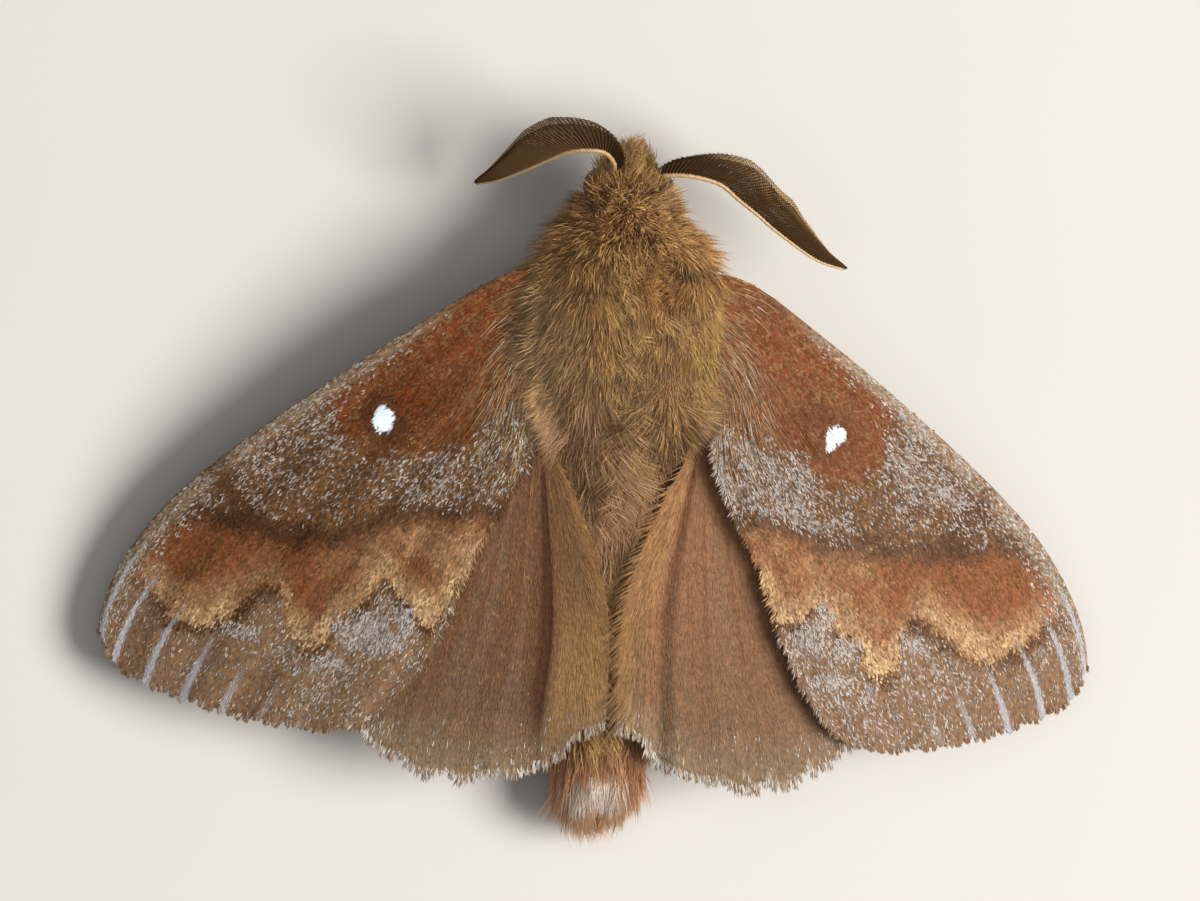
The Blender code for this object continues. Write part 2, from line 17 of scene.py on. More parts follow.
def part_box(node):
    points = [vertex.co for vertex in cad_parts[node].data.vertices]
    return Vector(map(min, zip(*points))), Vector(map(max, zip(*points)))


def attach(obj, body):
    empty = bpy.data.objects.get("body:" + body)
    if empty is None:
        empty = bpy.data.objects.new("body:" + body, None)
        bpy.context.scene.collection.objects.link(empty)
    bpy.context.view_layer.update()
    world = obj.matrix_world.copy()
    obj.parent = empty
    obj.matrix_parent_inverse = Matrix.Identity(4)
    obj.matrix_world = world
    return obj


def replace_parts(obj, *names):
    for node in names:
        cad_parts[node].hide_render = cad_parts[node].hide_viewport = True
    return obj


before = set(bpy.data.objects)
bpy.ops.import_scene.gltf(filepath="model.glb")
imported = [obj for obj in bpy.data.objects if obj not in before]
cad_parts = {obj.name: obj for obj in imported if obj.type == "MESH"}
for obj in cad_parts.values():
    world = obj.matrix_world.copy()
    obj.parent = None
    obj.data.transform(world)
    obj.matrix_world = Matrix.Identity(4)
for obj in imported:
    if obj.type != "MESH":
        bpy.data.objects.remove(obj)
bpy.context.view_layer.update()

MM = 0.001
SIDES = (("left", -1), ("right", 1))
UP = np.array([0.0, 0.0, 1.0])

# The body's core, as in the solids: place along Y, half width, half height and height of the centre.
HEAD = [(16.3, 0.5, 0.55, 4.75), (15.9, 1.1, 1.15, 4.85), (15.0, 1.6, 1.6, 5.0), (14.0, 1.75, 1.75, 5.1),
        (13.45, 1.5, 1.5, 5.2)]
THORAX = [(13.15, 1.6, 1.6, 5.3), (12.3, 3.0, 2.7, 5.5), (11.0, 3.75, 3.2, 5.6), (9.0, 4.2, 3.5, 5.6),
          (6.5, 4.3, 3.5, 5.5), (4.0, 3.85, 3.2, 5.2), (2.2, 3.1, 2.6, 4.9), (1.2, 2.5, 2.1, 4.7)]
ABDOMEN = [(0.9, 2.3, 1.95, 4.55), (-1.0, 2.5, 1.95, 4.2), (-4.0, 2.4, 1.85, 3.75),
           (-8.0, 2.2, 1.75, 3.4), (-12.0, 1.95, 1.65, 3.15), (-14.5, 1.6, 1.45, 3.0),
           (-15.8, 1.1, 1.05, 2.9), (-16.3, 0.5, 0.5, 2.85)]
BODY_STEPS, BODY_SMOOTHING = 700, 0.5
SKIN_RINGS, SKIN_SIDES = 150, 60
EYE_RADIUS = 0.95
EYE_CENTRE = (1.35, 14.85, 4.95)

# Fur.
CLUMP = 7  # hairs in a clump
CLUMP_SPREAD = 0.16  # how far its hairs' roots stray
CLUMP_SWAY, HAIR_SWAY = 17, 9  # degrees off the coat's lie, of a clump and of a hair in it
CLUMP_PULL = 0.25  # how far the tips draw together
ROOT_DEPTH = 0.12
LEAN = 0.14  # how much longer the fur is on the left flank, and shorter on the right
BEND_GAP, FLOOR_GAP = 0.3, 0.05  # of the hairs' middles and tips above the floor
# Places of painted shade in the fur, in the gaps between its tufts.
DARK_GAPS = [((-2.2, 10.3), (0.35, 0.25)), ((-0.1, 10.8), (0.3, 0.3)), ((2.5, 11.1), (0.35, 0.3)),
             ((3.2, 4.5), (0.3, 0.4)), ((2.7, 3.5), (0.25, 0.9)), ((2.2, 2.5), (0.25, 0.4))]
FUR_MARKS = ("gold", "rust", "dark_and_shade", "frost", "grey", "chestnut")
PLAIN_FUR = {**dict.fromkeys(FUR_MARKS, 0.0), "tuft": 0.4}

# Feelers, as in the solids: the root's place along the head and angle from its top, then points.
ANTENNA_ROOT = (15.1, math.radians(40))
ANTENNA_POINTS = {
    -1: [(-1.1, 15.8, 7.6), (-1.6, 16.35, 8.3), (-2.35, 16.5, 8.6), (-3.45, 16.4, 8.3), (-4.35, 16.0, 7.5),
         (-5.2, 15.55, 6.5), (-6.1, 15.1, 5.4), (-6.75, 14.85, 4.6), (-7.5, 14.7, 3.7)],
    1: [(1.45, 15.45, 7.15), (2.35, 15.5, 7.3), (3.35, 15.4, 7.2), (4.4, 15.1, 7.0), (5.35, 14.4, 6.8),
        (6.35, 13.7, 6.6), (7.35, 12.95, 6.3), (9.45, 11.65, 5.7), (11.0, 11.2, 5.3)],
}
SHAFT_RADIUS, SHAFT_TIP_RADIUS = 0.14, 0.06
SHAFT_RINGS, SHAFT_SIDES = 120, 12
RAMI = 74  # comb teeth in each of the two rows
COMB_SPANS = {-1: (0.13, 0.995), 1: (0.06, 0.995)}  # of the shaft
COMB_LENGTH = 2.1
COMB_GROWS, COMB_FADES = 0.3, 0.5  # shares of the shaft over which the teeth lengthen and shorten
COMB_SLANT = math.radians(60)
COMB_ROWS = (("upper", math.radians(12), 1, 0), ("lower", math.radians(-36), 0.92, 0.5))
RAMUS_RADII = (0.048, 0.034)
RAMUS_RINGS, RAMUS_SIDES = 7, 4
RAMUS_CURL = 0.14
CILIA = 22  # fine hairs on each side of a tooth, long enough to reach the next tooth
CILIUM_LENGTHS, CILIUM_WIDTH = (0.08, 0.4), 0.085

# Wings, as in the solids: outlines of the right side, out to the ends of the fringe.
FOREWING_ROOT_Z = 6.9
HINDWING_UNDER = 1.05
WING_LEVEL_TO = 4.5
WING_DROP, WING_DROP_POWER, WING_DROP_SPAN = 4.8, 1.6, 21.0
ROOF_SLOPE = 0.16
SPREAD = {-1: 1.015, 1: 0.985}
EDGE_STEPS = 400
ROOT_SUNK = 0.7  # of a wing's root inside the body
MEMBRANE_TOP, MEMBRANE_THICKNESS = 0.12, 0.12  # the top is above the middle of the solid wing
VEIN_RISE, VEIN_WIDTH = 0.03, 0.012  # the width is a share of the wing's breadth
FOREWING = {
    "root_ys": (10.8, 9.1, 7.4),
    "costa": [(6.0, 10.3), (10.1, 7.7), (14.2, 4.75), (18.2, 1.65), (21.4, -1.2), (23.4, -3.7),
              (24.7, -6.2)],
    "apex": (25.25, -8.7),
    "termen": [(24.4, -10.5), (22.4, -11.6), (19.6, -12.5), (16.5, -13.1), (13.9, -13.2)],
    "tornus": (12.0, -12.7),
    "dorsum": [(4.6, 4.5), (4.65, 1.4), (6.0, -1.7), (7.25, -3.9), (8.25, -6.8), (9.65, -9.7)],
    "grid": (120, 96),
    "wave": 0.07,
    "cell_end": 0.44,
    "long_veins": (0.03, 0.12, 0.73, 0.91),
    "branches": (0.22, 0.32, 0.42, 0.52, 0.62),
    "fringe": 0.45,
    "scallop": 0.2,
    "scales": 26000,
    "scale": (0.25, 0.11, 14),
    "grain": (0.5, 1.1),
    "fringe_hair": {"count": 2400, "length": 0.45, "tufts": 38.4, "uneven": 0.5, "frost": 0.15, "rim": 0.2},
}
HINDWING = {
    "root_ys": (6.3, 4.85, 3.4),
    "costa": [(8.0, 3.0), (11.6, -1.6), (14.4, -6.0)],
    "apex": (15.7, -9.6),
    "termen": [(14.9, -11.6), (13.2, -12.6), (11.4, -14.2), (8.6, -15.4), (5.3, -15.3), (3.0, -14.5),
               (1.7, -13.3)],
    "tornus": (0.25, -12.7),
    "dorsum": [(3.4, 1.8), (2.45, -0.4), (1.55, -2.5), (0.75, -4.9), (0.3, -7.2), (0.25, -9.9)],
    "grid": (96, 88),
    "wave": 0.03,
    "cell_end": 0.3,
    "long_veins": (0.04, 0.65),
    "branches": (0.17, 0.29, 0.41, 0.53),
    "fringe": 0.6,
    "scallop": 0.28,
    "scales": 16000,
    "scale": (0.45, 0.055, 4),
    "grain": (0.1, 0.2),
    "fringe_hair": {"count": 2600, "length": 0.75, "tufts": 48, "uneven": 1, "frost": 0.8, "rim": 0.8},
}
CREASE_LINES = {-1: (0.765, 0.79), 1: (0.8, 0.86)}  # across the hindwing, at its root and at its edge
CREASE_DEPTHS = {-1: 0.65, 1: 0.5}
CREASE_BREADTH, CREASE_GROWTH = 0.07, 0.8

# Scales: small folded kites that lie along the wing. A wing's "scale" above is the length and width of its
# flat scales and how many degrees they stray, and its "grain" is how unlike in tone its plate's cells and
# its single scales are.
FROST_SCALES, FROST_LENGTH, FROST_WIDTH = 27000, 0.25, 0.058
SCALE_BLUR = 0.16  # how far a scale's colour strays from its place, which softens the markings' edges

# The forewing's markings, the left wing's under -1: places are in millimetres from the midline and along Y.
# The rusty band lies between its top and foot, and the frosted middle of the wing starts at FROST_TOP.
BAND_TOP = {
    -1: [(6, -2.2), (8, -2.3), (10, -2.4), (12, -2.6), (14, -3.6), (16, -3.5), (18, -3.2), (20, -2.9),
         (21.3, -2.5), (22.5, -3.2), (23.6, -4.6), (25, -7)],
    1: [(6, -2.2), (8, -2.2), (10, -3.0), (12, -3.2), (14, -3.3), (16, -3.3), (18, -3.1), (20, -2.6),
        (21.3, -2.8), (22.4, -3.6), (23.5, -5.2), (25, -7)],
}
BAND_FOOT = {
    -1: [(7.4, -4.6), (8.4, -6.2), (9.1, -7.7), (9.7, -7.2), (10.6, -6.2), (11.4, -5.2), (12.1, -6.0),
         (13.2, -6.8), (13.9, -7.7), (14.4, -8.6), (15.2, -8.9), (15.9, -8.5), (16.2, -7.3), (16.6, -6.1),
         (17.5, -6.0), (18.5, -6.9), (19.4, -7.6), (20.6, -7.9), (21.9, -7.7), (22.6, -6.7), (23.3, -5.8),
         (24.2, -5.6)],
    1: [(7.4, -5.4), (8.3, -6.6), (9.2, -6.7), (9.9, -5.8), (10.3, -5.4), (10.9, -6.4), (11.5, -6.9),
        (12.1, -7.1), (12.7, -8.6), (13.3, -9.1), (13.9, -9.3), (14.5, -8.6), (14.9, -7.3), (15.2, -6.2),
        (16, -6.4), (16.8, -7.0), (17.8, -7.6), (19.3, -8.2), (20.5, -7.9), (21.4, -7.3), (22.2, -6.5),
        (23.2, -5.9), (24.2, -5.8)],
}
FROST_TOP = {
    -1: [(5, 4.6), (6.8, 2.9), (7.5, 1.5), (9.4, 1.2), (10.7, 1.5), (12, 0.8), (13.3, 1.4), (14.4, 2.8),
         (15.5, 4.4), (17, 4.4)],
    1: [(4.5, 3.4), (6.4, 2.6), (8, 1.9), (9.3, 1.5), (10.4, 0.4), (12, 0.2), (13.2, 1.6), (13.8, 3.4),
        (15, 4.6), (17, 4.4)],
}
# Strengths along the band: of its ochre foot, of the dark notches below it and of the dark edge above it.
GOLD_FOOT = {
    -1: [(8, 0.9), (10.6, 0.9), (11.4, 0.5), (12.2, 0.8), (13.2, 0.3), (14.2, 1), (15.8, 1), (16.6, 0.3),
         (18.4, 0.3), (19.5, 0.75), (21.2, 0.9), (22.6, 0.6), (24, 0.1)],
    1: [(8, 0.9), (9.6, 0.7), (10.4, 0.5), (11.4, 0.8), (12.2, 0.6), (12.8, 1), (14.4, 1), (15, 0.2),
        (16.2, 0.7), (17.4, 0.6), (18.4, 0.9), (20.4, 0.8), (21.6, 0.6), (23, 0.2), (24, 0)],
}
SOOT_NOTCHES = {
    -1: [(7, 0), (9, 0.9), (10.4, 1), (11.6, 0.6), (12.6, 0.9), (13.6, 0.5), (15, 0.8), (16.2, 0.4),
         (17.4, 0.9), (19, 0.9), (20.6, 0.9), (22.2, 0.8), (23.4, 0.3), (25, 0)],
    1: [(7, 0), (8.6, 0.9), (9.6, 0.9), (10.4, 0.2), (11.4, 0.9), (12.4, 0.3), (13.6, 1), (14.6, 0.3),
        (15.1, 0.9), (16, 0.7), (17.2, 0.8), (18.2, 0.3), (19.2, 1), (20, 0.3), (20.8, 0.9), (22, 0.8),
        (23.2, 0.5), (25, 0)],
}
SMOKE_EDGE = {
    -1: [(6, 0.5), (8, 0.2), (9.5, 0.75), (11, 0.3), (13, 0.8), (15, 1), (18, 1), (20, 0.8), (21.5, 0.3),
         (25, 0)],
    1: [(6, 0.6), (8, 0.1), (11, 0.2), (13, 0.5), (15, 0.8), (17.4, 1), (18.6, 0.7), (20, 0.3), (21.5, 0.4),
        (25, 0)],
}
# The smoke above the band is weaker on the right wing, where a painted sheen washes it out.
SMOKE_STRENGTH = {-1: 1, 1: 0.28}
SMOKE_LINE = {-1: ((20.2, 0.6), (18.6, -2.2)), 1: ((18.7, 0.2), (17.4, -2.4))}
SMOKE_RING = {-1: 1, 1: 0.5}  # round the white spot
LEFT_ALONE = {-1: 1, 1: 0}  # the left wing only: painted shade darkens it broadly, and a deep red patch lies beside its spot
DEEP_PATCH = ((10.4, 3.9), (1.4, 0.9))
SPOT = {-1: (11.9, 2.8), 1: (10.8, 2.85)}
SPOT_RADII = {-1: 0.52, 1: 0.45}
BLOOM = {-1: 0.62, 1: 1.05}  # of the frost: less of it on the left wing, as painted shade
FROST_PATCHES = {
    -1: [((12.7, -7.7), (1.0, 0.7)), ((11.6, -8.4), (0.9, 0.5)), ((10.7, -7.3), (0.5, 0.6)),
         ((18.4, -7.9), (0.8, 0.3)), ((14.0, -9.6), (0.8, 0.4))],
    1: [((9.8, -7.3), (0.8, 0.6)), ((11.6, -7.8), (0.6, 0.5)), ((10.4, -6.2), (0.4, 0.5)),
        ((15.4, -7.4), (0.6, 0.5)), ((11.0, -9.4), (0.9, 0.5))],
}
STRIPES = ((0.03, 1), (0.13, 1), (0.25, 1), (0.38, 0.9), (0.51, 0.6), (0.63, 0.3), (0.76, 0.15))
STRIPE_HALF_WIDTH = 0.009  # at the wing's edge, as a share of the edge

# The hindwing's golden strip, at its root and its edge, and the shade painted along its fold: its breadth,
# how far out it runs, and how strong it is in reddish and in dark.
HIND_MARKS = {
    # The left strip grows more golden towards the back than the right one: painted light on the strip turned
    # from the lamp.
    -1: {"strip": (0.22, 0.8), "breadth": 0.1, "end": 1.1, "rust": 0.2, "dark_and_shade": 1.3},
    1: {"strip": (0.45, 0.25), "breadth": 0.07, "end": 0.8, "rust": 0.5, "dark_and_shade": 0.15},
}

# Legs, as in the solids: the hip's place along the thorax and angle from its top, then knee, ankle and toe.
LEG_HIPS = {
    "front": (11.3, math.radians(146)),
    "mid": (8.3, math.radians(138)),
    "hind": (5.2, math.radians(140)),
}
LEG_KNEES = {"front": (2.7, 12.6, 2.1), "mid": (5.2, 8.5, 3.0), "hind": (4.7, 2.6, 2.8)}
LEG_ANKLES = {"front": (2.5, 13.0, 0.3), "mid": (6.8, 7.6, 0.3), "hind": (5.6, -1.4, 0.3)}
LEG_TOES = {"front": (1.9, 14.4, 0.14), "mid": (8.6, 6.4, 0.14), "hind": (6.3, -4.6, 0.14)}
LEG_RINGS, LEG_SIDES = 90, 14
CLAW_RINGS, CLAW_SIDES = 8, 6

# Colours, as they look, from 0 to 255.
TINTS = {
    "ground": (74, 53, 36),
    "outer": (99, 80, 64),
    "warm": (98, 49, 20),
    "rust": (110, 64, 36),
    "gold": (175, 149, 112),
    # dark markings, and the hindwing's painted shade along its fold
    "dark_and_shade": (54, 30, 16),
    "frost": (196, 193, 190),
    "stripe": (166, 168, 176),
    "spot": (216, 230, 240),
    "rim": (126, 108, 86),
    "speck": (146, 108, 70),
    # painted sheen: the colour of the reflection painted over the forewing that faces the light
    "painted_sheen": (196, 150, 132),
    "under": (124, 88, 64),
}
# Each wing's ground and gold, and the strength of a painted sheen: a pale reflection painted over the
# forewing that faces the light.
WING_TINTS = {
    ("forewing", -1): (TINTS["ground"], TINTS["gold"], 0.0),
    ("forewing", 1): (TINTS["ground"], TINTS["gold"], 0.035),
    # The hindwings' grounds differ only for the light: the left one is darkened as painted shade on the side
    # away from the lamp.
    ("hindwing", -1): ((108, 77, 54), (168, 129, 82), 0.0),
    ("hindwing", 1): ((148, 106, 76), (168, 129, 82), 0.0),
}
# A mark's colour in the fur: at the roots, at the darkest and the lightest hairs' tips, and its strength.
FUR_TINTS = {
    "rust": ((106, 60, 38), (140, 84, 46), (255, 194, 114), 0.85),
    "gold": ((136, 94, 50), (166, 118, 56), (255, 222, 128), 0.85),
    "grey": ((96, 64, 44), (152, 108, 78), (220, 178, 140), 0.75),
    "chestnut": ((120, 72, 46), (166, 110, 72), (230, 176, 130), 0.95),
}
# Horny parts: the colours of root and tip, roughness and specular level.
HORN_TINTS = {
    "feeler_shaft": ((176, 142, 98), (198, 166, 120), 0.45, 0.4),
    "feeler_comb_upper": ((70, 52, 30), (186, 144, 88), 0.6, 0.1),
    "feeler_comb_lower": ((54, 38, 22), (74, 54, 30), 0.6, 0.1),
    "feeler_hair": ((48, 35, 20), (58, 42, 24), 0.7, 0.05),
    "claw": ((70, 44, 26), (36, 22, 14), 0.45, 0.4),
}

# The camera, and the lights with their place and size in metres and their power.
VIEW_TILT = math.radians(7.5)  # towards the moth's left
VIEW_ROLL = math.radians(2.4)
VIEW_TARGET = np.array([-1.03, 1.6, 6.0])
VIEW_WIDTH = 60.0
LENS, SENSOR = 300.0, 36.0
LIGHTS = (
    ("key", (0.34, -0.05, 0.4), 0.32, 5.3, (1.0, 0.97, 0.92)),
    ("sky", (-0.1, 0.0, 0.5), 0.5, 0.8, (1.0, 0.98, 0.95)),
)
STUDIO_COLOUR, STUDIO_STRENGTH = (0.95, 0.97, 1.0, 1), 0.14
FLOOR_SIZE = 1.6


# Maths on arrays.


def linear(*channels):
    """A colour given as it looks, from 0 to 255, as the shaders' light values."""
    shares = [c / 255 for c in channels]
    return tuple(c / 12.92 if c <= 0.04045 else ((c + 0.055) / 1.055) ** 2.4 for c in shares)


def unit(v):
    return v / np.maximum(np.linalg.norm(v, axis=-1, keepdims=True), 1e-9)


def ease(x):
    x = np.clip(x, 0, 1)
    return x * x * (3 - 2 * x)


def column(values):
    return np.asarray(values, float)[..., None]


def mix(a, b, share):
    return a + (b - a) * share


def most(*values):
    """The highest of several arrays, place by place."""
    return functools.reduce(np.maximum, values)


def along(line, x):
    """The height at x of a line given as points from left to right."""
    xs, ys = np.array(line, float).T
    return np.interp(x, xs, ys)


def smooth_curve(points, count):
    """count points spaced evenly along a Catmull-Rom curve through points."""
    points = np.asarray(points, float)
    ends = np.vstack([2 * points[0] - points[1], points, 2 * points[-1] - points[-2]])
    u = np.linspace(0, 1, 24, endpoint=False)[:, None]
    fine = []
    for a, b, c, d in zip(ends, ends[1:], ends[2:], ends[3:]):
        bend = (c - a) * u + (2 * a - 5 * b + 4 * c - d) * u**2 + (3 * b - a - 3 * c + d) * u**3
        fine.append(b + bend / 2)
    fine = np.vstack([*fine, points[-1:]])
    reach = np.concatenate([[0], np.cumsum(np.linalg.norm(np.diff(fine, axis=0), axis=1))])
    return at(fine, np.interp(np.linspace(0, reach[-1], count), reach, np.linspace(0, 1, len(fine))))


def at(points, share):
    """The place at a share of the way along evenly numbered points."""
    place = np.clip(share, 0, 1) * (len(points) - 1)
    i = np.minimum(place.astype(int), len(points) - 2)
    return mix(points[i], points[i + 1], column(place - i))


def cloud(x, y, size, seed):
    """Smooth noise between -1 and 1 whose lumps are about size across."""
    lattice = np.random.default_rng(seed).uniform(-1, 1, (97, 97))
    u, v = np.asarray(x) / size + 40.3, np.asarray(y) / size + 40.7
    i, j = np.floor(u).astype(int), np.floor(v).astype(int)
    a, b = ease(u - i), ease(v - j)
    i, j = i % 96, j % 96
    low = mix(lattice[i, j], lattice[i + 1, j], a)
    high = mix(lattice[i, j + 1], lattice[i + 1, j + 1], a)
    return mix(low, high, b)


def blob(x, y, centre, size, soft=0.5):
    """1 inside an upright oval and 0 well outside it."""
    far = np.hypot((x - centre[0]) / size[0], (y - centre[1]) / size[1])
    return ease((1 + soft - far) / (2 * soft))


def from_line(x, y, start, end):
    """The distance of places from a short straight line."""
    run = np.subtract(end, start)
    share = np.clip(((x - start[0]) * run[0] + (y - start[1]) * run[1]) / (run @ run), 0, 1)
    return np.hypot(x - start[0] - run[0] * share, y - start[1] - run[1] * share)


def turn(v, axis, angle):
    """Unit vectors turned about axes that stand square to them."""
    return unit(v * column(np.cos(angle)) + np.cross(axis, v) * column(np.sin(angle)))


def square_to(ahead, up=UP):
    """Directions across a path and up from it."""
    across = unit(np.cross(up, ahead))
    return across, np.cross(ahead, across)


# Meshes.


def put_values(mesh, values):
    for label, numbers in values.items():
        attribute = mesh.attributes.new(label, "FLOAT", "POINT")
        attribute.data.foreach_set("value", np.asarray(numbers, np.float32).ravel())


def place_piece(piece, name, shader):
    """Names a piece, gives it its finish and lets it ride on the still body."""
    piece.name = piece.data.name = name
    piece.data.materials.clear()
    piece.data.materials.append(shader)
    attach(piece, "root")
    return piece


def put_mesh(name, points, faces, shader, values, bake=None, smooth=True):
    """A piece from points in millimetres and arrays of faces."""
    mesh = bpy.data.meshes.new(name)
    corners = np.concatenate([f.ravel() for f in faces]).astype(np.int32)
    sizes = np.concatenate([np.full(len(f), f.shape[1]) for f in faces])
    mesh.vertices.add(len(points))
    mesh.vertices.foreach_set("co", (points * MM).astype(np.float32).ravel())
    mesh.loops.add(len(corners))
    mesh.loops.foreach_set("vertex_index", corners)
    mesh.polygons.add(len(sizes))
    mesh.polygons.foreach_set("loop_start", (np.cumsum(sizes) - sizes).astype(np.int32))
    mesh.update(calc_edges=True)
    put_values(mesh, values)
    if bake is not None:
        layer = mesh.uv_layers.new(name="OFBake")
        layer.data.foreach_set("uv", bake[corners].astype(np.float32).ravel())
    if smooth:
        mesh.shade_smooth()
    else:
        mesh.shade_flat()
    piece = bpy.data.objects.new(name, mesh)
    bpy.context.scene.collection.objects.link(piece)
    place_piece(piece, name, shader)


def fresh_primitive(add, **settings):
    """A new mesh primitive at the origin, alone selected, and its points."""
    bpy.ops.object.select_all(action="DESELECT")
    add(**settings)
    piece = bpy.context.object
    points = np.empty(len(piece.data.vertices) * 3)
    piece.data.vertices.foreach_get("co", points)
    return piece, points.reshape(-1, 3)


def move_points(piece, points):
    piece.data.vertices.foreach_set("co", (points * MM).astype(np.float32).ravel())
    piece.data.update()


def put_tube(name, path, radii, sides, shader, values=None):
    """A cylinder with as many rings as the path has points, bent along the path."""
    piece, points = fresh_primitive(bpy.ops.mesh.primitive_cylinder_add, vertices=sides, radius=1, depth=1)
    ends = np.array([points[list(e.vertices), 2] for e in piece.data.edges])
    upright = np.abs(ends[:, 0] - ends[:, 1]) > 0.5
    bpy.ops.object.mode_set(mode="EDIT")
    bpy.ops.mesh.select_all(action="DESELECT")
    bpy.ops.mesh.select_mode(type="EDGE")
    bpy.ops.object.mode_set(mode="OBJECT")
    piece.data.edges.foreach_set("select", upright)
    bpy.ops.object.mode_set(mode="EDIT")
    bpy.ops.mesh.subdivide(number_cuts=len(path) - 2)
    bpy.ops.object.mode_set(mode="OBJECT")
    x, y, z = np.array([v.co for v in piece.data.vertices]).T
    share, angle = z + 0.5, np.arctan2(y, x)
    across, top = square_to(unit(np.gradient(path, axis=0)))
    out = at(across, share) * column(np.cos(angle)) + at(top, share) * column(np.sin(angle))
    points = at(path, share) + out * column(at(np.asarray(radii)[:, None], share)[:, 0])
    points[:, 2] = np.maximum(points[:, 2], 0)
    move_points(piece, points)
    put_values(piece.data, {"share": share, **{k: np.full(len(x), v) for k, v in (values or {}).items()}})
    piece.data.shade_smooth()
    return place_piece(piece, name, shader)


def fine_tube(path, radii, sides, up=UP):
    """Rings of points square to a path."""
    across, top = square_to(unit(np.gradient(path, axis=0)), up)
    angle = np.linspace(0, 2 * math.pi, sides, endpoint=False)
    ring = column(np.cos(angle)) * across[:, None] + column(np.sin(angle)) * top[:, None]
    return (path[:, None] + ring * radii[:, None, None]).reshape(-1, 3)


def fine_tube_faces(rings, sides, first):
    """Quads of a tube of rings, numbered ring by ring, wound to face outwards, and its two end caps."""
    i, j = np.meshgrid(np.arange(rings - 1), np.arange(sides), indexing="ij")
    a = first + i * sides + j
    b = first + i * sides + (j + 1) % sides
    quads = np.stack([a, b, b + sides, a + sides], -1).reshape(-1, 4)
    start = first + np.arange(sides)[::-1]
    end = first + (rings - 1) * sides + np.arange(sides)
    return quads, np.stack([start, end])


def put_fine_tubes(name, tubes, rings, sides, shares, shader):
    """One piece of many thin closed tubes with the same number of rings."""
    faces = [fine_tube_faces(rings, sides, k * rings * sides) for k in range(len(tubes))]
    points = np.concatenate(tubes)
    points[:, 2] = np.maximum(points[:, 2], 0.01)
    put_mesh(name, points, [np.concatenate(kind) for kind in zip(*faces)], shader, {"share": shares})


BLADE_QUADS = np.array([[0, 1, 4, 3], [1, 2, 5, 4], [2, 0, 3, 5]])
BLADE_TRIANGLES = np.array([[0, 2, 1], [3, 4, 6], [4, 5, 6], [5, 3, 6]])
SLIVER_TRIANGLES = np.array([[0, 2, 1], [0, 1, 3], [1, 2, 3], [2, 0, 3]])
FLAKE_TRIANGLES = np.array([[0, 1, 2], [0, 2, 3], [0, 3, 1], [2, 1, 3]])
SHARES = {  # of the way to the tip, of a hair's points
    "blade": np.array([0, 0, 0, 0.5, 0.5, 0.5, 1]),
    "sliver": np.array([0, 0, 0, 1]),
    "flake": np.array([0, 0.6, 1, 0.6]),
}
PATCH = 0.003  # across, of a tuft on the unwrapped skin
UV_MARGIN = 0.01


def repeat_faces(pattern, count, points):
    return (pattern[None] + points * np.arange(count)[:, None, None]).reshape(-1, pattern.shape[1])


def section(centre, ahead, across, width, thickness):
    """The three corners of a blade at centre: two beside it and one above."""
    top = unit(np.cross(ahead, across))
    half = across * column(width / 2)
    return np.stack([centre - half, centre + half, centre + top * column(thickness)], 1)


def blades(roots, mids, tips, normal, width):
    """Closed, curved, three-sided blades from roots past mids to tips: points and faces."""
    first, last = unit(mids - roots), unit(tips - mids)
    across = unit(np.cross(normal, unit(tips - roots)))
    low = section(roots, first, across, width, width * 0.6)
    high = section(mids, last, across, width * 0.8, width * 0.5)
    points = np.concatenate([low, high, tips[:, None]], 1)
    faces = [repeat_faces(BLADE_QUADS, len(roots), 7), repeat_faces(BLADE_TRIANGLES, len(roots), 7)]
    return points.reshape(-1, 3), faces


def slivers(roots, tips, normal, width):
    """Closed three-sided spikes from roots to tips: points and faces."""
    ahead = unit(tips - roots)
    low = section(roots, ahead, unit(np.cross(normal, ahead)), width, width * 0.35)
    points = np.concatenate([low, tips[:, None]], 1)
    return points.reshape(-1, 3), [repeat_faces(SLIVER_TRIANGLES, len(roots), 4)]


def flakes(roots, tips, normal, width):
    """Closed scales like kites folded along their length: points and faces."""
    across = unit(np.cross(normal, unit(tips - roots))) * column(width / 2)
    middle = mix(roots, tips, 0.6) - normal * column(width * 0.04)
    points = np.stack([roots, middle - across, tips, middle + across], 1)
    return points.reshape(-1, 3), [repeat_faces(FLAKE_TRIANGLES, len(roots), 4)]


def patches(uv, shares):
    """Each hair's small patch of the unwrapped skin, at its root's place."""
    u = uv[:, 0, None] + PATCH * np.linspace(-0.5, 0.5, len(shares))
    v = uv[:, 1, None] + PATCH * (shares - 0.5)
    return np.stack([u, v], -1).reshape(-1, 2)


def put_hair(name, shader, lines, normal, width, marks, tuft, uv, form):
    """A piece of closed hairs along lines of root, middle and tip, each marked as its root is."""
    roots, mids, tips = lines
    if form == "blade":
        points, faces = blades(roots, mids, tips, normal, width)
    elif form == "sliver":
        points, faces = slivers(roots, tips, normal, width)
    else:
        points, faces = flakes(roots, tips, normal, width)
    shares = SHARES[form]
    values = {label: np.repeat(numbers, len(shares)) for label, numbers in marks.items()}
    values["tuft"] = np.repeat(tuft, len(shares))
    values["share"] = np.tile(shares, len(roots))
    put_mesh(name, points, faces, shader, values, patches(uv, shares), form == "blade")


# The body.


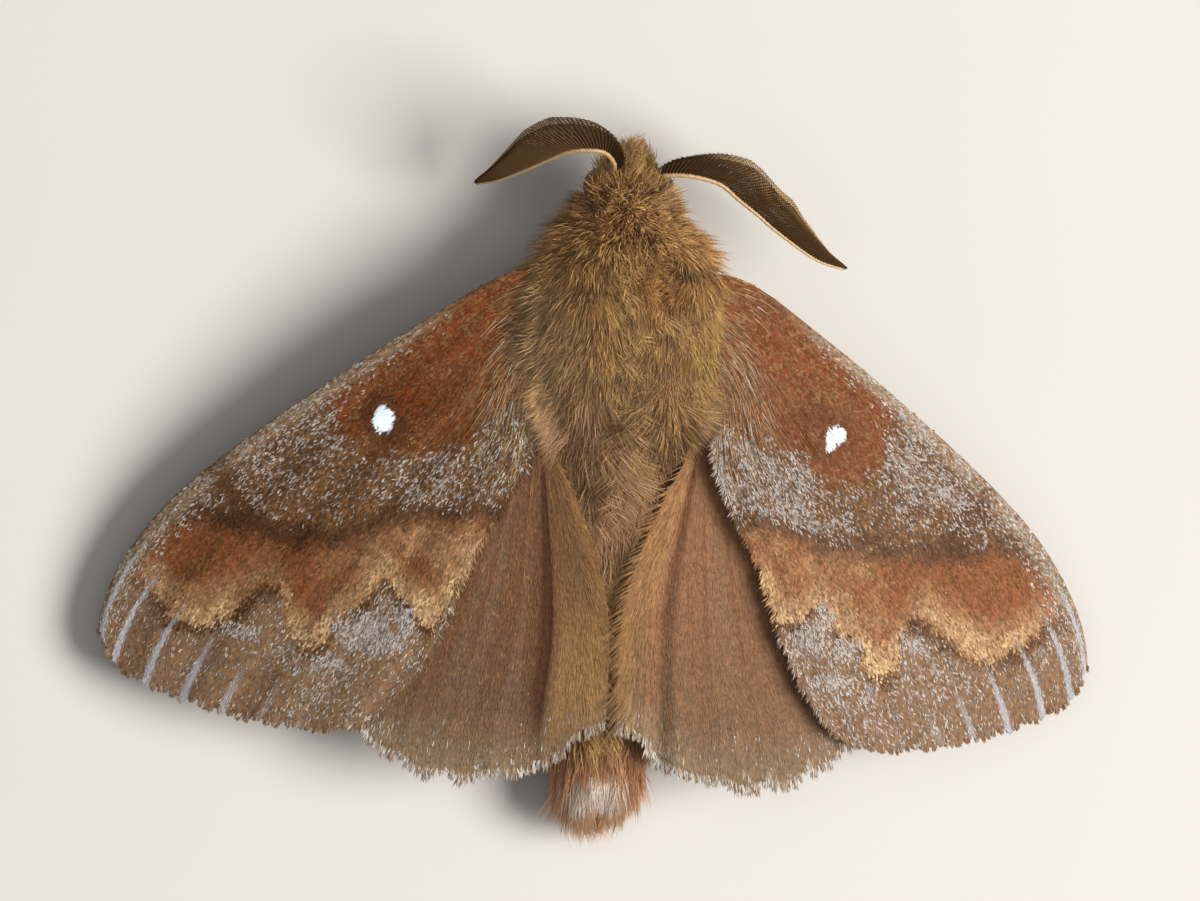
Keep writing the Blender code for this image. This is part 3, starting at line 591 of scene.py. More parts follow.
def body_table():
    """Places along the body with its half width, half height and height, smoothed between the stations."""
    stations = np.array(sorted(HEAD + THORAX + ABDOMEN), float)
    ys = np.linspace(stations[0, 0], stations[-1, 0], BODY_STEPS)
    reach = np.arange(-2.5 * BODY_SMOOTHING, 2.5 * BODY_SMOOTHING, ys[1] - ys[0])
    weights = np.exp(-((reach / BODY_SMOOTHING) ** 2))
    weights /= weights.sum()
    columns = [ys]
    for k in (1, 2, 3):
        raw = np.interp(ys, stations[:, 0], stations[:, k])
        padded = np.pad(raw, len(reach) // 2, mode="edge")
        columns.append(np.convolve(padded, weights, "same")[len(reach) // 2 :][: len(ys)])
    return np.array(columns)


BODY = body_table()
BODY_FRONT, BODY_BACK = BODY[0, -1], BODY[0, 0]


def body_size(y):
    """Half width, half height and height of the centre at y."""
    return [np.interp(y, BODY[0], BODY[k]) for k in (1, 2, 3)]


def body_point(y, angle):
    """The skin's point at y and angle from the top, towards +X."""
    width, height, centre = body_size(y)
    end = np.minimum(BODY_FRONT - y, y - BODY_BACK)
    taper = np.sqrt(np.clip(end / 0.5, 0.02, 1))
    return np.stack([width * taper * np.sin(angle), y, centre + height * taper * np.cos(angle)], -1)


def body_frame(y, angle):
    """Point, outward direction, direction to the tail and direction round to the right."""
    step = 0.03
    around = unit(body_point(y, angle + step) - body_point(y, angle - step))
    ahead = unit(body_point(y + step, angle) - body_point(y - step, angle))
    return body_point(y, angle), unit(np.cross(around, ahead)), -ahead, around


def unwrapped(u, v):
    """A place on the bake's square from two shares."""
    return UV_MARGIN + (1 - 2 * UV_MARGIN) * np.stack([u, v], -1)


def skin(shader):
    """One closed skin from brow to tail, from a sphere."""
    add = bpy.ops.mesh.primitive_uv_sphere_add
    piece, points = fresh_primitive(add, segments=SKIN_SIDES, ring_count=SKIN_RINGS, radius=1)
    x, y, z = points.T
    share = 1 - np.arccos(np.clip(z, -1, 1)) / math.pi
    even = mix(share, (z + 1) / 2, 0.3)
    place = mix(BODY_BACK + 0.01, BODY_FRONT - 0.01, even)
    points = body_point(place, np.arctan2(x, y))
    poles = np.hypot(x, y) < 1e-4
    points[poles, 0] = 0
    move_points(piece, points)
    marks = body_marks(points)
    marks["share"] = np.zeros(len(points))
    marks["tuft"] = 0.5 + 0.4 * cloud(points[:, 0] + points[:, 2], points[:, 1], 0.4, 3)
    put_values(piece.data, marks)
    piece.data.shade_smooth()
    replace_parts(place_piece(piece, "skin", shader), "head", "thorax", "abdomen")


def body_marks(points):
    """Where the coat is golden, reddish, dark, grey or white-tipped, with painted shade in its gaps and a
    painted highlight on the tail, at points near the skin.
    """
    x, y, z = np.asarray(points, float).T
    above = ease((z - 4.5) / 1.5)
    tail = ease((-11.8 - y) / 1.2)
    collar = ease((y - 11.0) / 1.6) * ease((14.6 - y) / 0.5) * above
    shoulder = blob(x, y, (-3.6, 6.5), (1.4, 4.5))
    # Golden patches; the one on the left flank is real and also strengthened as painted light on the flank
    # turned from the lamp.
    gold = most(
        blob(x, y, (3.5, 7.6), (0.8, 2.0)),
        0.75 * blob(x, y, (-4.0, 7.4), (1.8, 4.6)),
        0.8 * blob(x, y, (-3.0, 1.6), (0.8, 1.6)),
    )
    rust = most(
        blob(x, y, (1.3, 9.9), (1.3, 1.2)) * above,
        0.6 * collar,
        0.5 * ease(x / 3) * ease((y - 3) / 2) * above,
        0.4 * blob(x, y, (-2.6, 7.0), (1.4, 4.0)) * above,
    )
    grey = most(ease((3.4 - y) / 3) * (1 - tail), blob(x, y, (-1.6, 3.6), (1.3, 1.4)), 0.35 * shoulder)
    # The collar's dark flecks; painted shade in random patches between the clumps and in the listed gaps;
    # and a darkening right of the midline.
    gaps = most(
        0.2 * collar * (0.5 + 0.5 * cloud(x, y, 0.5, 71)),
        0.4 * ease(cloud(x, y, 0.42, 73) / 0.6) * ease((y - 1) / 2) * above,
        0.22 * ease((x - 0.5) / 2.5) * ease((y - 1) / 2) * above,
        *(blob(x, y, centre, size) * above for centre, size in DARK_GAPS),
    )
    # Whitened tips: a painted highlight on the tail tuft, white-tipped hair low on the rear flanks, and a
    # little on the left shoulder.
    white = most(
        blob(x, y, (-0.25, -14.0), (0.9, 0.55), 0.7) * ease((z - 3.2) / 0.8),
        0.7 * ease((np.abs(x) - 2.7) / 0.8) * ease((4.2 - y) / 2) * ease(y + 0.5),
        0.06 * shoulder * above,
    )
    gold = most(gold * above, ease((y - 14.2) / 0.6))
    return {"gold": gold, "rust": rust, "dark_and_shade": gaps, "frost": white, "grey": grey * above, "chestnut": tail}


def lie_on_thorax(x, y, turned):
    """The lie of the thorax's fur, in degrees out from straight back."""
    flank = mix(40, 56, ease((9 - y) / 3) * ease((y - 2.5) / 2)) * ease((175 - turned) / 60)
    lie = flank * ease((turned - 22) / 24) - 20 * ease(turned / 10) * ease((34 - turned) / 14)
    lie = mix(lie, 8, blob(x, y, (3.3, 8.0), (1.0, 2.4)))
    lie = mix(lie, -75, blob(x, y, (1.8, 10.3), (1.1, 1.2)))
    return mix(lie, 10 + 58 * ease(turned / 45), ease((y - 11.2) / 1.2))


def thorax_rule(x, y, turned):
    """Lie, length and rise of the thorax's fur."""
    belly = ease((turned - 100) / 30)
    collar = ease((y - 10.8) / 1.6)
    side = ease((turned - 30) / 25)
    rear = ease((5.5 - y) / 3)
    length = mix(1.4, 1.9, side) + rear * mix(1.3, 1.1, side)
    length = mix(mix(length, 1.6, belly), mix(0.75, 1.4, side), collar)
    return lie_on_thorax(x, y, turned), length, mix(mix(0.2, 0.15, rear), mix(0.42, 0.28, side), collar)


def abdomen_rule(x, y, turned):
    """Lie, length and rise of the abdomen's fur, whose tail tuft parts in two."""
    tail = ease((-12.4 - y) / 1.6)
    parted = mix(7, 2 + 13 * ease((-13.2 - y) / 1.6), ease((turned - 20) / 50))
    lie = mix(3 - 8 * ease(turned / 20) * ease((60 - turned) / 30), parted, tail)
    end = 2.65 - 0.8 * np.exp(-(((x + 0.3) / 0.35) ** 2)) * ease(-13.5 - y)
    length = mix(mix(2.1, 1.5, ease((turned - 70) / 40)), end, tail)
    return lie, length, mix(0.22, 0.13, tail)


def head_rule(x, y, turned):
    """Lie, length and rise of the head's fur: a brush over the brow and a ruff round the neck."""
    brow = ease((y - 13.9) / 0.6)
    side = ease((turned - 40) / 30)
    lie = mix(85 * ease(turned / 35), 186, brow)
    cheek = mix(0.65, 1.15, ease(x / 0.5) * ease((15.2 - y) / 0.6))
    length = mix(mix(0.85, 1.05, side), mix(1.5, cheek, side), brow)
    rise = mix(0.55, mix(0.45, mix(0.12, 0.4, ease(x / 0.5)), side), brow)
    return lie, length, rise + 2.2 * brow * (1 - brow) * (1 - side)


def nape_rule(x, y, turned):
    """Lie, length and rise of short upright hair where the head's brush and the ruff part."""
    return 180 + 180 * cloud(x, y, 0.35, 72), 0.8, 1.0


def clear_of_eyes(points):
    near = np.hstack([np.abs(points[:, :1]), points[:, 1:]]) - np.array(EYE_CENTRE)
    return np.linalg.norm(near, axis=1) > EYE_RADIUS + 0.04


def clear_of_wings(points, above):
    """Fur that is rooted above a wing lies on it, and fur rooted below stays under it."""
    x, y, z = points.T
    height = forewing_height(np.abs(x))
    near = (np.abs(x) > 3.7) & (y < 10.9)
    z = np.where(near & above & (y > -2), np.maximum(z, height + MEMBRANE_TOP + 0.1), z)
    z = np.where(near & ~above & (y > 3), np.minimum(z, height - 0.25), z)
    return np.stack([x, y, z], -1)


def plant(draw, span, arc, tufts):
    """Places for about as many tufts, even over the skin and clear of the eyes."""
    y = draw.uniform(*span, tufts * 3)
    angle = np.radians(draw.uniform(*arc, tufts * 3)) * draw.choice([-1, 1], tufts * 3)
    size = body_size(y)[0]
    chosen = np.flatnonzero(draw.uniform(0, size.max(), len(y)) < size)[:tufts]
    y, angle = y[chosen], angle[chosen]
    kept = clear_of_eyes(body_point(y, angle))
    return y[kept], angle[kept]


def coat(name, shader, span, arc, count, rule, seed, width=0.06, form="blade"):
    """Fur in small clumps whose hairs lean together, between two angles from the top on both sides."""
    draw = np.random.default_rng(seed)
    y, angle = plant(draw, span, arc, int(count / CLUMP))
    tufts = len(y)
    number = tufts * CLUMP

    def shared(values):
        """A clump's value for each of its hairs."""
        return np.repeat(values, CLUMP)

    hue = shared(draw.uniform(0, 1, tufts))
    sway = shared(draw.normal(0, CLUMP_SWAY, tufts))
    stretch = shared(draw.uniform(0.8, 1.15, tufts))
    lift = shared(draw.uniform(0.4, 1.6, tufts))
    y = np.clip(shared(y) + draw.normal(0, CLUMP_SPREAD, number), BODY_BACK + 0.05, BODY_FRONT - 0.05)
    angle = shared(angle) + draw.normal(0, CLUMP_SPREAD, number) / body_size(y)[0]
    roots, normal, back, around = body_frame(y, angle)
    turned = np.degrees(np.abs((angle + math.pi) % (2 * math.pi) - math.pi))
    lie, length, rise = rule(roots[:, 0], y, turned)
    swirl = 26 * cloud(roots[:, 0] + 0.4 * y, y, 1.7, 50) + 28 * cloud(roots[:, 0] - 0.3 * y, y, 0.6, 51)
    swirl = swirl * ease((y + 14) / 4)
    calm = mix(0.45, 1, ease((y + 13.5) / 2))
    theta = np.radians(lie + swirl + (sway + draw.normal(0, HAIR_SWAY, number)) * calm)
    flank = ease((turned - 40) / 30) * ease((118 - turned) / 20)
    level = np.sign(roots) * [1, 0, 0]
    outward = unit(mix(around * column(np.sign(np.sin(angle))), level, column(flank)))
    ahead = back * column(np.cos(theta)) + outward * column(np.sin(theta))
    length = length * stretch * draw.uniform(0.8, 1.12, number) * (1 - LEAN * np.sin(angle))
    up = rise * lift * draw.uniform(0.85, 1.2, number)
    mids = roots + (ahead * 0.5 + normal * column(up * 0.75)) * column(length)
    tips = roots + (ahead * 0.98 + normal * column(up * 0.9)) * column(length)
    middle = tips.reshape(tufts, CLUMP, 3).mean(1)
    tips = mix(tips, np.repeat(middle, CLUMP, 0), CLUMP_PULL)
    above = roots[:, 2] > forewing_height(np.abs(roots[:, 0])) - 0.1
    mids, tips = clear_of_wings(mids, above), clear_of_wings(tips, above)
    mids[:, 2] = np.maximum(mids[:, 2], BEND_GAP)
    tips[:, 2] = np.maximum(tips[:, 2], FLOOR_GAP)
    roots = roots - normal * ROOT_DEPTH
    widths = width * draw.uniform(0.8, 1.2, number)
    tuft = 0.65 * hue + 0.35 * draw.uniform(0, 1, number)
    uv = unwrapped((angle / (2 * math.pi)) % 1, (y - BODY_BACK) / (BODY_FRONT - BODY_BACK))
    put_hair(name, shader, (roots, mids, tips), normal, widths, body_marks(roots), tuft, uv, form)


def body():
    """The skin and its coat, of which the fine hairs fill the gaps between the broad ones."""
    fur = fur_paint("fur")
    skin(fur)
    for k in (1, 2):
        coat(f"fur_thorax_top_{k}", fur, (0.6, 13.3), (0, 60), 12500, thorax_rule, k, 0.056)
        coat(f"fur_thorax_fine_{k}", fur, (0.6, 13.3), (0, 60), 15000, thorax_rule, 20 + k, 0.046, "sliver")
    coat("fur_flank", fur, (0.9, 13.3), (40, 72), 7000, thorax_rule, 7, 0.056)
    coat("fur_thorax_side", fur, (1.4, 13.3), (50, 180), 8000, thorax_rule, 3)
    coat("fur_abdomen", fur, (-15.5, 1.6), (0, 180), 8000, abdomen_rule, 4)
    coat("fur_abdomen_fine", fur, (-15.5, 1.6), (0, 70), 14000, abdomen_rule, 24, 0.05, "sliver")
    coat("fur_tail", fur, (-15.7, -12.0), (0, 180), 6000, abdomen_rule, 5, 0.055)
    coat("fur_head", fur, (13.1, 16.25), (0, 180), 9500, head_rule, 6, 0.055)
    coat("fur_nape", fur, (13.3, 14.9), (0, 50), 1600, nape_rule, 8, 0.055)
    palps(fur)
    legs(fur, horn_paint("claw"))


# Wings.


def core_side(y, z):
    """Half the width of the thorax at y and height z."""
    width, height, centre = body_size(y)
    return width * np.sqrt(np.maximum(0, 1 - ((z - centre) / height) ** 2))


def wing_edges(shape, middle_z):
    root = [(core_side(y, middle_z) - ROOT_SUNK, y) for y in shape["root_ys"]]
    runs = {
        "root": root,
        "costa": [root[0], *shape["costa"], shape["apex"]],
        "dorsum": [root[-1], *shape["dorsum"], shape["tornus"]],
        "termen": [shape["apex"], *shape["termen"], shape["tornus"]],
    }
    return {name: smooth_curve(run, EDGE_STEPS + 1) for name, run in runs.items()}


def in_wing(edges, s, t):
    """Flat places of a wing s of the way from root to termen and t from costa to dorsum."""
    s, t = np.broadcast_arrays(np.asarray(s, float), np.asarray(t, float))
    across = mix(at(edges["costa"], s), at(edges["dorsum"], s), column(t))
    out = mix(at(edges["root"], t), at(edges["termen"], t), column(s))
    near = mix(edges["root"][0], edges["root"][-1], column(t))
    far = mix(edges["termen"][0], edges["termen"][-1], column(t))
    return across + out - mix(near, far, column(s))


def forewing_height(x):
    out = np.maximum(0, x - WING_LEVEL_TO) / WING_DROP_SPAN
    return FOREWING_ROOT_Z - WING_DROP * out**WING_DROP_POWER


def hindwing_height(x):
    return forewing_height(x) - HINDWING_UNDER + ROOF_SLOPE * np.maximum(0, WING_LEVEL_TO - x)


def crease_line(side, s):
    """Where across the hindwing its fold runs."""
    return mix(*CREASE_LINES[side], s)


def crease(side, s, t):
    """How far the hindwing dips to its fold."""
    fold = crease_line(side, s)
    near = np.minimum((t - fold) / CREASE_BREADTH + 1, (1 - t) / (1 - fold))
    return CREASE_DEPTHS[side] * ease(near) * np.maximum(s, 0) ** CREASE_GROWTH


def ridge(shape, s, t):
    """Height of the veins, from 0 to 1."""
    rise = np.zeros(np.broadcast(s, t).shape)
    for vein in shape["long_veins"]:
        rise = np.maximum(rise, np.exp(-(((t - vein) / VEIN_WIDTH) ** 2)))
    forked = ease((s - shape["cell_end"]) / 0.06)
    for vein in shape["branches"]:
        rise = np.maximum(rise, forked * np.exp(-(((t - vein) / VEIN_WIDTH) ** 2)))
    return rise * ease((s - 0.02) / 0.1) * ease((1.02 - s) / 0.1)


class Wing:
    """One wing: where its surface lies, how it is marked and what covers it."""

    def __init__(self, kind, label, side):
        self.kind = kind
        self.label = label
        self.side = side
        self.fore = kind == "forewing"
        self.shape = FOREWING if self.fore else HINDWING
        middle_z = FOREWING_ROOT_Z - (0 if self.fore else HINDWING_UNDER)
        self.edges = wing_edges(self.shape, middle_z)
        self.veins = sorted(self.shape["long_veins"] + self.shape["branches"])
        tints, grain = WING_TINTS[kind, side], self.shape["grain"]
        self.plate_paint = wing_paint(self.named("skin"), *tints, False, grain[0])
        self.scale_paint = wing_paint(self.named("scales"), *tints, True, grain[1])

    def named(self, word):
        return f"{self.kind}_{word}_{self.label}"

    def flat(self, s, t):
        """Unmirrored places seen from above."""
        place = in_wing(self.edges, s, t)
        root_x = self.edges["root"][0][0]
        out = place[..., 0] - root_x
        x = root_x + out * np.where(out > 0, SPREAD[self.side], 1)
        return np.stack([x, place[..., 1]], -1)

    def points(self, s, t):
        """Places on the wing's upper surface."""
        x, y = np.moveaxis(self.flat(s, t), -1, 0)
        if self.fore:
            z = forewing_height(x)
        else:
            z = hindwing_height(x) - crease(self.side, s, t)
        wave = self.shape["wave"] * np.sin(t * 31) * ease(s / 0.5) + 0.08 * cloud(x, y, 4, 11)
        z = z + wave + MEMBRANE_TOP + VEIN_RISE * ridge(self.shape, s, t)
        return np.stack([x * self.side, y, z], -1)

    def frame(self, s, t):
        """Place, direction to the wing's edge, upward direction, and area for each step of s and t."""
        step = 0.004
        ahead = self.points(s + step, t) - self.points(s - step, t)
        across = self.points(s, t + step) - self.points(s, t - step)
        normal = unit(np.cross(ahead, across))
        normal = normal * np.sign(normal[..., 2:])
        return self.points(s, t), unit(ahead), normal, np.linalg.norm(np.cross(ahead, across), axis=-1)

    def membrane_end(self, t):
        """How far out the membrane reaches, inside the fringe, in scallops between the veins."""
        places = np.array([0, *self.veins, 1])
        i = np.clip(np.searchsorted(places, t) - 1, 0, len(places) - 2)
        share = (t - places[i]) / (places[i + 1] - places[i])
        notch = 1 - 4 * share * (1 - share)
        reach = np.linalg.norm(self.flat(1, t) - self.flat(0, t), axis=-1)
        return 1 - (self.shape["fringe"] + self.shape["scallop"] * notch) / reach

    def marks(self, s, t, blur=(0, 0)):
        """Named markings, each from 0 to 1, read blur millimetres away."""
        x, y = np.moveaxis(self.flat(s, t), -1, 0)
        read = forewing_marks if self.fore else hindwing_marks
        return read(self.side, x + blur[0], y + blur[1], s, t)

    def cover(self, word, s, t, roots, tips, normal, width, marks, tuft, form="flake"):
        """Hair or scales on the wing."""
        uv = np.stack([UV_MARGIN + 0.48 * s, UV_MARGIN + (1 - 2 * UV_MARGIN) * t], -1)
        lines = (roots, None, tips)
        put_hair(self.named(word), self.scale_paint, lines, normal, width, marks, tuft, uv, form)


def smoke_marks(side, x, y, above, from_spot):
    """The forewing's dark veil: above the band, across the wing before its tip and round the spot."""
    edge = ease(above / 0.8 + 0.9) * ease(1.5 - above / 1.1) * along(SMOKE_EDGE[side], x)
    return most(
        edge * SMOKE_STRENGTH[side],
        0.8 * ease(1.5 - from_line(x, y, *SMOKE_LINE[side]) / 0.7),
        SMOKE_RING[side] * ease(1.6 - from_spot / 1.2),
        0.5 * blob(x, y, (SPOT[side][0] - 1.2, SPOT[side][1] + 0.9), (1.2, 0.6)),
    )


def stripe_marks(s, t):
    """The pale stripes that run out to the forewing's edge."""
    width = STRIPE_HALF_WIDTH * mix(0.5, 1.25, ease((s - 0.8) / 0.2))
    return most(*(
        strength * ease(1.5 - np.abs(t - place) / width) * ease((s - (0.78 + 0.16 * place)) / 0.1)
        for place, strength in STRIPES
    ))


def forewing_marks(side, x, y, s, t):
    seed = 20 + side
    x = x + 0.25 * cloud(x, y, 0.9, seed) + 0.12 * cloud(x, y, 0.3, seed + 1)
    y = y + 0.25 * cloud(x, y, 0.9, seed + 2) + 0.12 * cloud(x, y, 0.3, seed + 3)
    patchy = 0.5 + 0.5 * cloud(x, y, 1.2, seed + 4)
    mottled = 0.5 + 0.5 * cloud(x, y, 0.5, seed + 5)
    flecked = 0.35 + 1.3 * ease(0.5 + 0.7 * cloud(x, y, 0.2, seed + 6))
    lumpy = ease(0.5 + 0.8 * cloud(x, y, 0.26, seed + 7))
    top, foot = along(BAND_TOP[side], x), along(BAND_FOOT[side], x)
    above, below = y - top, foot - y
    outer = ease(below / 0.4)
    warm = ease((y - along(FROST_TOP[side], x)) / 1.6 + 0.5)
    middle = (1 - warm) * ease((above - 0.3) / 1.2)
    # The band.
    rust = ease((top - y) / 1.1 + 0.5) * ease((y - foot) / 0.35 + 0.5)
    gold = rust * ease(1.15 - (y - foot) / 2.3) * along(GOLD_FOOT[side], x)
    gold = most(gold, 0.45 * rust * mottled * ease((16 - x) / 4)) * mix(0.55, 1.05, lumpy)
    rust = rust * mix(1, 0.75, lumpy)
    # The dark parts.
    from_spot = np.hypot(x - SPOT[side][0], y - SPOT[side][1])
    deep = LEFT_ALONE[side] * blob(x, y, *DEEP_PATCH)
    # Painted shade over the left wing: a broad darkening of its band and warm parts, which also thins the
    # frost.
    veil = 0.3 * most(rust - gold, warm) + 0.2 * (1 - warm) * (1 - rust) * (1 - outer)
    smoke = most(smoke_marks(side, x, y, above, from_spot), 0.25 * deep, LEFT_ALONE[side] * veil)
    dark_and_shade = ease(below / 0.2 + 0.6) * ease(1.3 - below / 0.7) * along(SOOT_NOTCHES[side], x)
    # The frost: on the middle, along the costa, before the spot and below the band.
    dense = 0.1 + 0.3 * ease((13 - x) / 4) + 0.17 * ease((0.34 - t) / 0.2)
    fading = mix(0.08, 0.26, ease((19.5 - x) / 4)) * mix(1, 0.4, ease(below / 4.5))
    frost = most(
        middle * dense * (0.3 + 1.3 * patchy * (0.4 + 1.2 * mottled)) * BLOOM[side],
        0.2 * ease((0.14 - t) / 0.1) * ease((s - 0.15) / 0.3),
        0.14 * ease((0.3 - t) / 0.2) * ease((x - 12) / 3) * ease((y - 1.5) / 2),
        outer * fading * (0.3 + 1.2 * patchy) * BLOOM[side],
    )
    frost = frost * (1 - 0.85 * smoke) * (1 - 0.9 * dark_and_shade) * flecked
    light = 0.75 * (0.3 + 0.7 * flecked)
    frost = most(frost, *(light * blob(x, y, centre, size, 0.9) for centre, size in FROST_PATCHES[side]))
    return {
        "outer": outer,
        "warm": most(warm * (0.55 + 0.45 * patchy), deep),
        "rust": rust,
        "gold": gold,
        "dark_and_shade": most(dark_and_shade, 0.75 * smoke),
        "frost": frost,
        "stripe": stripe_marks(s, t),
        "spot": ease((SPOT_RADII[side] - from_spot) / 0.1 + 0.5),
        "rim": ease((0.08 - t) / 0.05) * ease((s - 0.12) / 0.2),
        "speck": (0.12 + 0.22 * warm + 0.3 * outer + 0.25 * middle + 0.1 * rust) * (1 - 0.8 * deep),
    }


def hindwing_marks(side, x, y, s, t):
    chart = HIND_MARKS[side]
    seed = 40 + side
    streaks = 0.5 + 0.5 * cloud(t * 60, s * 2.5, 1, seed)
    fold = crease_line(side, s)
    strip = ease((t - fold) / 0.06)
    gold = strip * mix(1, 0.75, streaks) * mix(*chart["strip"], ease((-3 - y) / 7))
    # Painted shade along the fold, on the main wing beside the raised strip: reddish through the rust mark
    # and dark through the other.
    crease_shade = ease((fold + 0.015 - t) / 0.02) * ease(1 - (fold - t) / chart["breadth"])
    crease_shade = crease_shade * ease((s - 0.05) / 0.2) * ease((chart["end"] - s) / 0.4)
    edge = ease((s - 0.8) / 0.2)
    flecks = ease((s - 0.9) / 0.04) * ease((cloud(x, y, 0.6, seed + 1) - 0.3) / 0.3)
    return {
        "outer": np.clip(0.4 + 0.35 * ease((s - 0.35) / 0.6) + 0.3 * (streaks - 0.5), 0, 1),
        "warm": 0.3 * (1 - streaks) * ease((0.95 - s) / 0.3),
        "rust": crease_shade * chart["rust"],
        "gold": most(gold, 0.5 * ease((t - 0.9) / 0.08)),
        "dark_and_shade": np.minimum(1, crease_shade * chart["dark_and_shade"]),
        "frost": most(0.1 * edge, 0.55 * flecks * (1 - strip)),
        "stripe": np.zeros_like(x),
        "spot": np.zeros_like(x),
        "rim": edge * 0.8,
        "speck": np.full_like(x, 0.06),
    }


def membrane(wing):
    """The wing's thin plate, from a flat grid, with its veins raised."""
    rows, columns = wing.shape["grid"]
    add = bpy.ops.mesh.primitive_grid_add
    piece, points = fresh_primitive(add, x_subdivisions=rows - 1, y_subdivisions=columns - 1, size=1)
    t = points[:, 1] + 0.5
    s = (points[:, 0] + 0.5) * wing.membrane_end(t)
    move_points(piece, wing.points(s, t))
    if wing.side > 0:
        piece.data.flip_normals()
    wall = piece.modifiers.new("wall", "SOLIDIFY")
    wall.thickness = MEMBRANE_THICKNESS * MM
    wall.offset = -1
    bpy.ops.object.modifier_apply(modifier=wall.name)
    marks = {label: np.tile(numbers, 2) for label, numbers in wing.marks(s, t).items()}
    marks["under"] = np.repeat([0.0, 1.0], len(s))
    put_values(piece.data, marks)
    piece.data.shade_smooth()
    place_piece(piece, wing.named("plate"), wing.plate_paint)
    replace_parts(piece, wing.kind + "_" + wing.label)


def scatter(wing, count, seed, keep=None):
    """A seeded draw, and places on a wing that are even over its area, or as closely set as keep says."""
    draw = np.random.default_rng(seed)
    s, t = draw.uniform(0.005, 0.995, (2, count * 4))
    s = s * wing.membrane_end(t)
    _, _, _, area = wing.frame(s, t)
    chance = area / area.max()
    if keep is not None:
        chance = chance * keep(wing, s, t)
    chosen = np.flatnonzero(draw.uniform(0, 1, len(s)) < chance)[:count]
    return draw, s[chosen], t[chosen]


def scales(wing, seed, keep=None):
    """The upper side's flat scales."""
    draw, s, t = scatter(wing, wing.shape["scales"], seed, keep)
    number = len(s)
    roots, ahead, normal, _ = wing.frame(s, t)
    marks = wing.marks(s, t, draw.normal(0, SCALE_BLUR, (2, number)))
    here = wing.marks(s, t)
    for label in ("spot", "stripe"):
        marks[label] = here[label]
    marks["frost"] = marks["frost"] * 0.6
    longest, widest, stray = wing.shape["scale"]
    length = longest * draw.uniform(0.7, 1.3, number)
    width = widest * draw.uniform(0.8, 1.2, number)
    ahead = turn(ahead, normal, np.radians(draw.normal(0, stray, number)))
    tips = roots + (ahead + normal * column(draw.uniform(0.02, 0.07, number))) * column(length)
    roots = roots + normal * 0.012
    wing.cover("scales", s, t, roots, tips, normal, width, marks, draw.uniform(0, 1, number))


def frosted(wing, s, t):
    """How closely the pale scales are set."""
    marks = wing.marks(s, t)
    return np.clip(marks["frost"] + 0.5 * marks["stripe"] + 2 * marks["spot"], 0, 1)


def frost_scales(wing, seed):
    """The pale hair-like scales that stand a little above the others."""
    draw, s, t = scatter(wing, FROST_SCALES, seed, frosted)
    number = len(s)
    roots, ahead, normal, _ = wing.frame(s, t)
    here = wing.marks(s, t)
    marks = {label: np.zeros(number) for label in here}
    marks["frost"] = np.ones(number)
    for label in ("stripe", "spot", "outer"):
        marks[label] = here[label]
    length = FROST_LENGTH * draw.uniform(0.6, 1.3, number)
    width = FROST_WIDTH * draw.uniform(0.7, 1.2, number)
    ahead = turn(ahead, normal, np.radians(draw.normal(0, 16, number)))
    tips = roots + (ahead + normal * column(draw.uniform(0.06, 0.16, number))) * column(length)
    roots = roots + normal * 0.03
    wing.cover("frost", s, t, roots, tips, normal, width, marks, draw.uniform(0, 1, number))


def edge_hair(wing, count, seed):
    """Short hair along the wing's inner edge."""
    draw = np.random.default_rng(seed)
    s = draw.uniform(0.1, 0.95, count)
    t = draw.uniform(0.955, 0.995, count)
    roots, ahead, normal, _ = wing.frame(s, t)
    ahead = turn(ahead, normal, -wing.side * np.radians(draw.normal(50, 12, count)))
    lift = draw.normal(-0.02, 0.06, count)
    tips = roots + (ahead + normal * column(lift)) * column(draw.uniform(0.3, 0.6, count))
    marks = wing.marks(s, t, draw.normal(0, SCALE_BLUR, (2, count)))
    width = np.full(count, 0.06)
    wing.cover("edge", s, t, roots, tips, normal, width, marks, draw.uniform(0, 1, count))


def fringe(wing, seed):
    """Hair scales along the wing's outer edge, in small tufts with gaps between them."""
    hair = wing.shape["fringe_hair"]
    count, tufts, uneven = hair["count"], hair["tufts"], hair["uneven"]
    draw = np.random.default_rng(seed)
    t = draw.uniform(0.0, 1.0, count)
    in_tuft = (t * tufts + 0.3 * np.sin(t * 41)) % 1
    t = np.clip(t + (0.5 - in_tuft) * 0.6 / tufts, 0, 1)
    s = wing.membrane_end(t) - 0.006
    roots, ahead, normal, _ = wing.frame(s, t)
    across = unit(np.cross(normal, ahead))
    pointed = 1 - 0.6 * uneven * np.abs(2 * in_tuft - 1) ** 1.2
    ragged = 1 + 0.35 * uneven * cloud(t * 50, s, 1, seed + 2)
    reach = hair["length"] * pointed * draw.uniform(0.75, 1.15, count) * ragged
    ahead = turn(ahead, normal, np.radians(draw.normal(0, 8, count)))
    sway = across * column(0.12 * cloud(t * 90, s, 1, seed))
    tips = roots + ahead * column(reach) + sway + normal * column(draw.normal(-0.03, 0.05, count))
    marks = wing.marks(s, t)
    marks["frost"] = np.maximum(marks["frost"], hair["frost"])
    marks["dark_and_shade"] = marks["dark_and_shade"] * 0.5
    marks["rim"] = np.full(count, hair["rim"])
    width = np.full(count, 0.085)
    wing.cover("fringe", s, t, roots, tips, normal, width, marks, draw.uniform(0, 1, count))


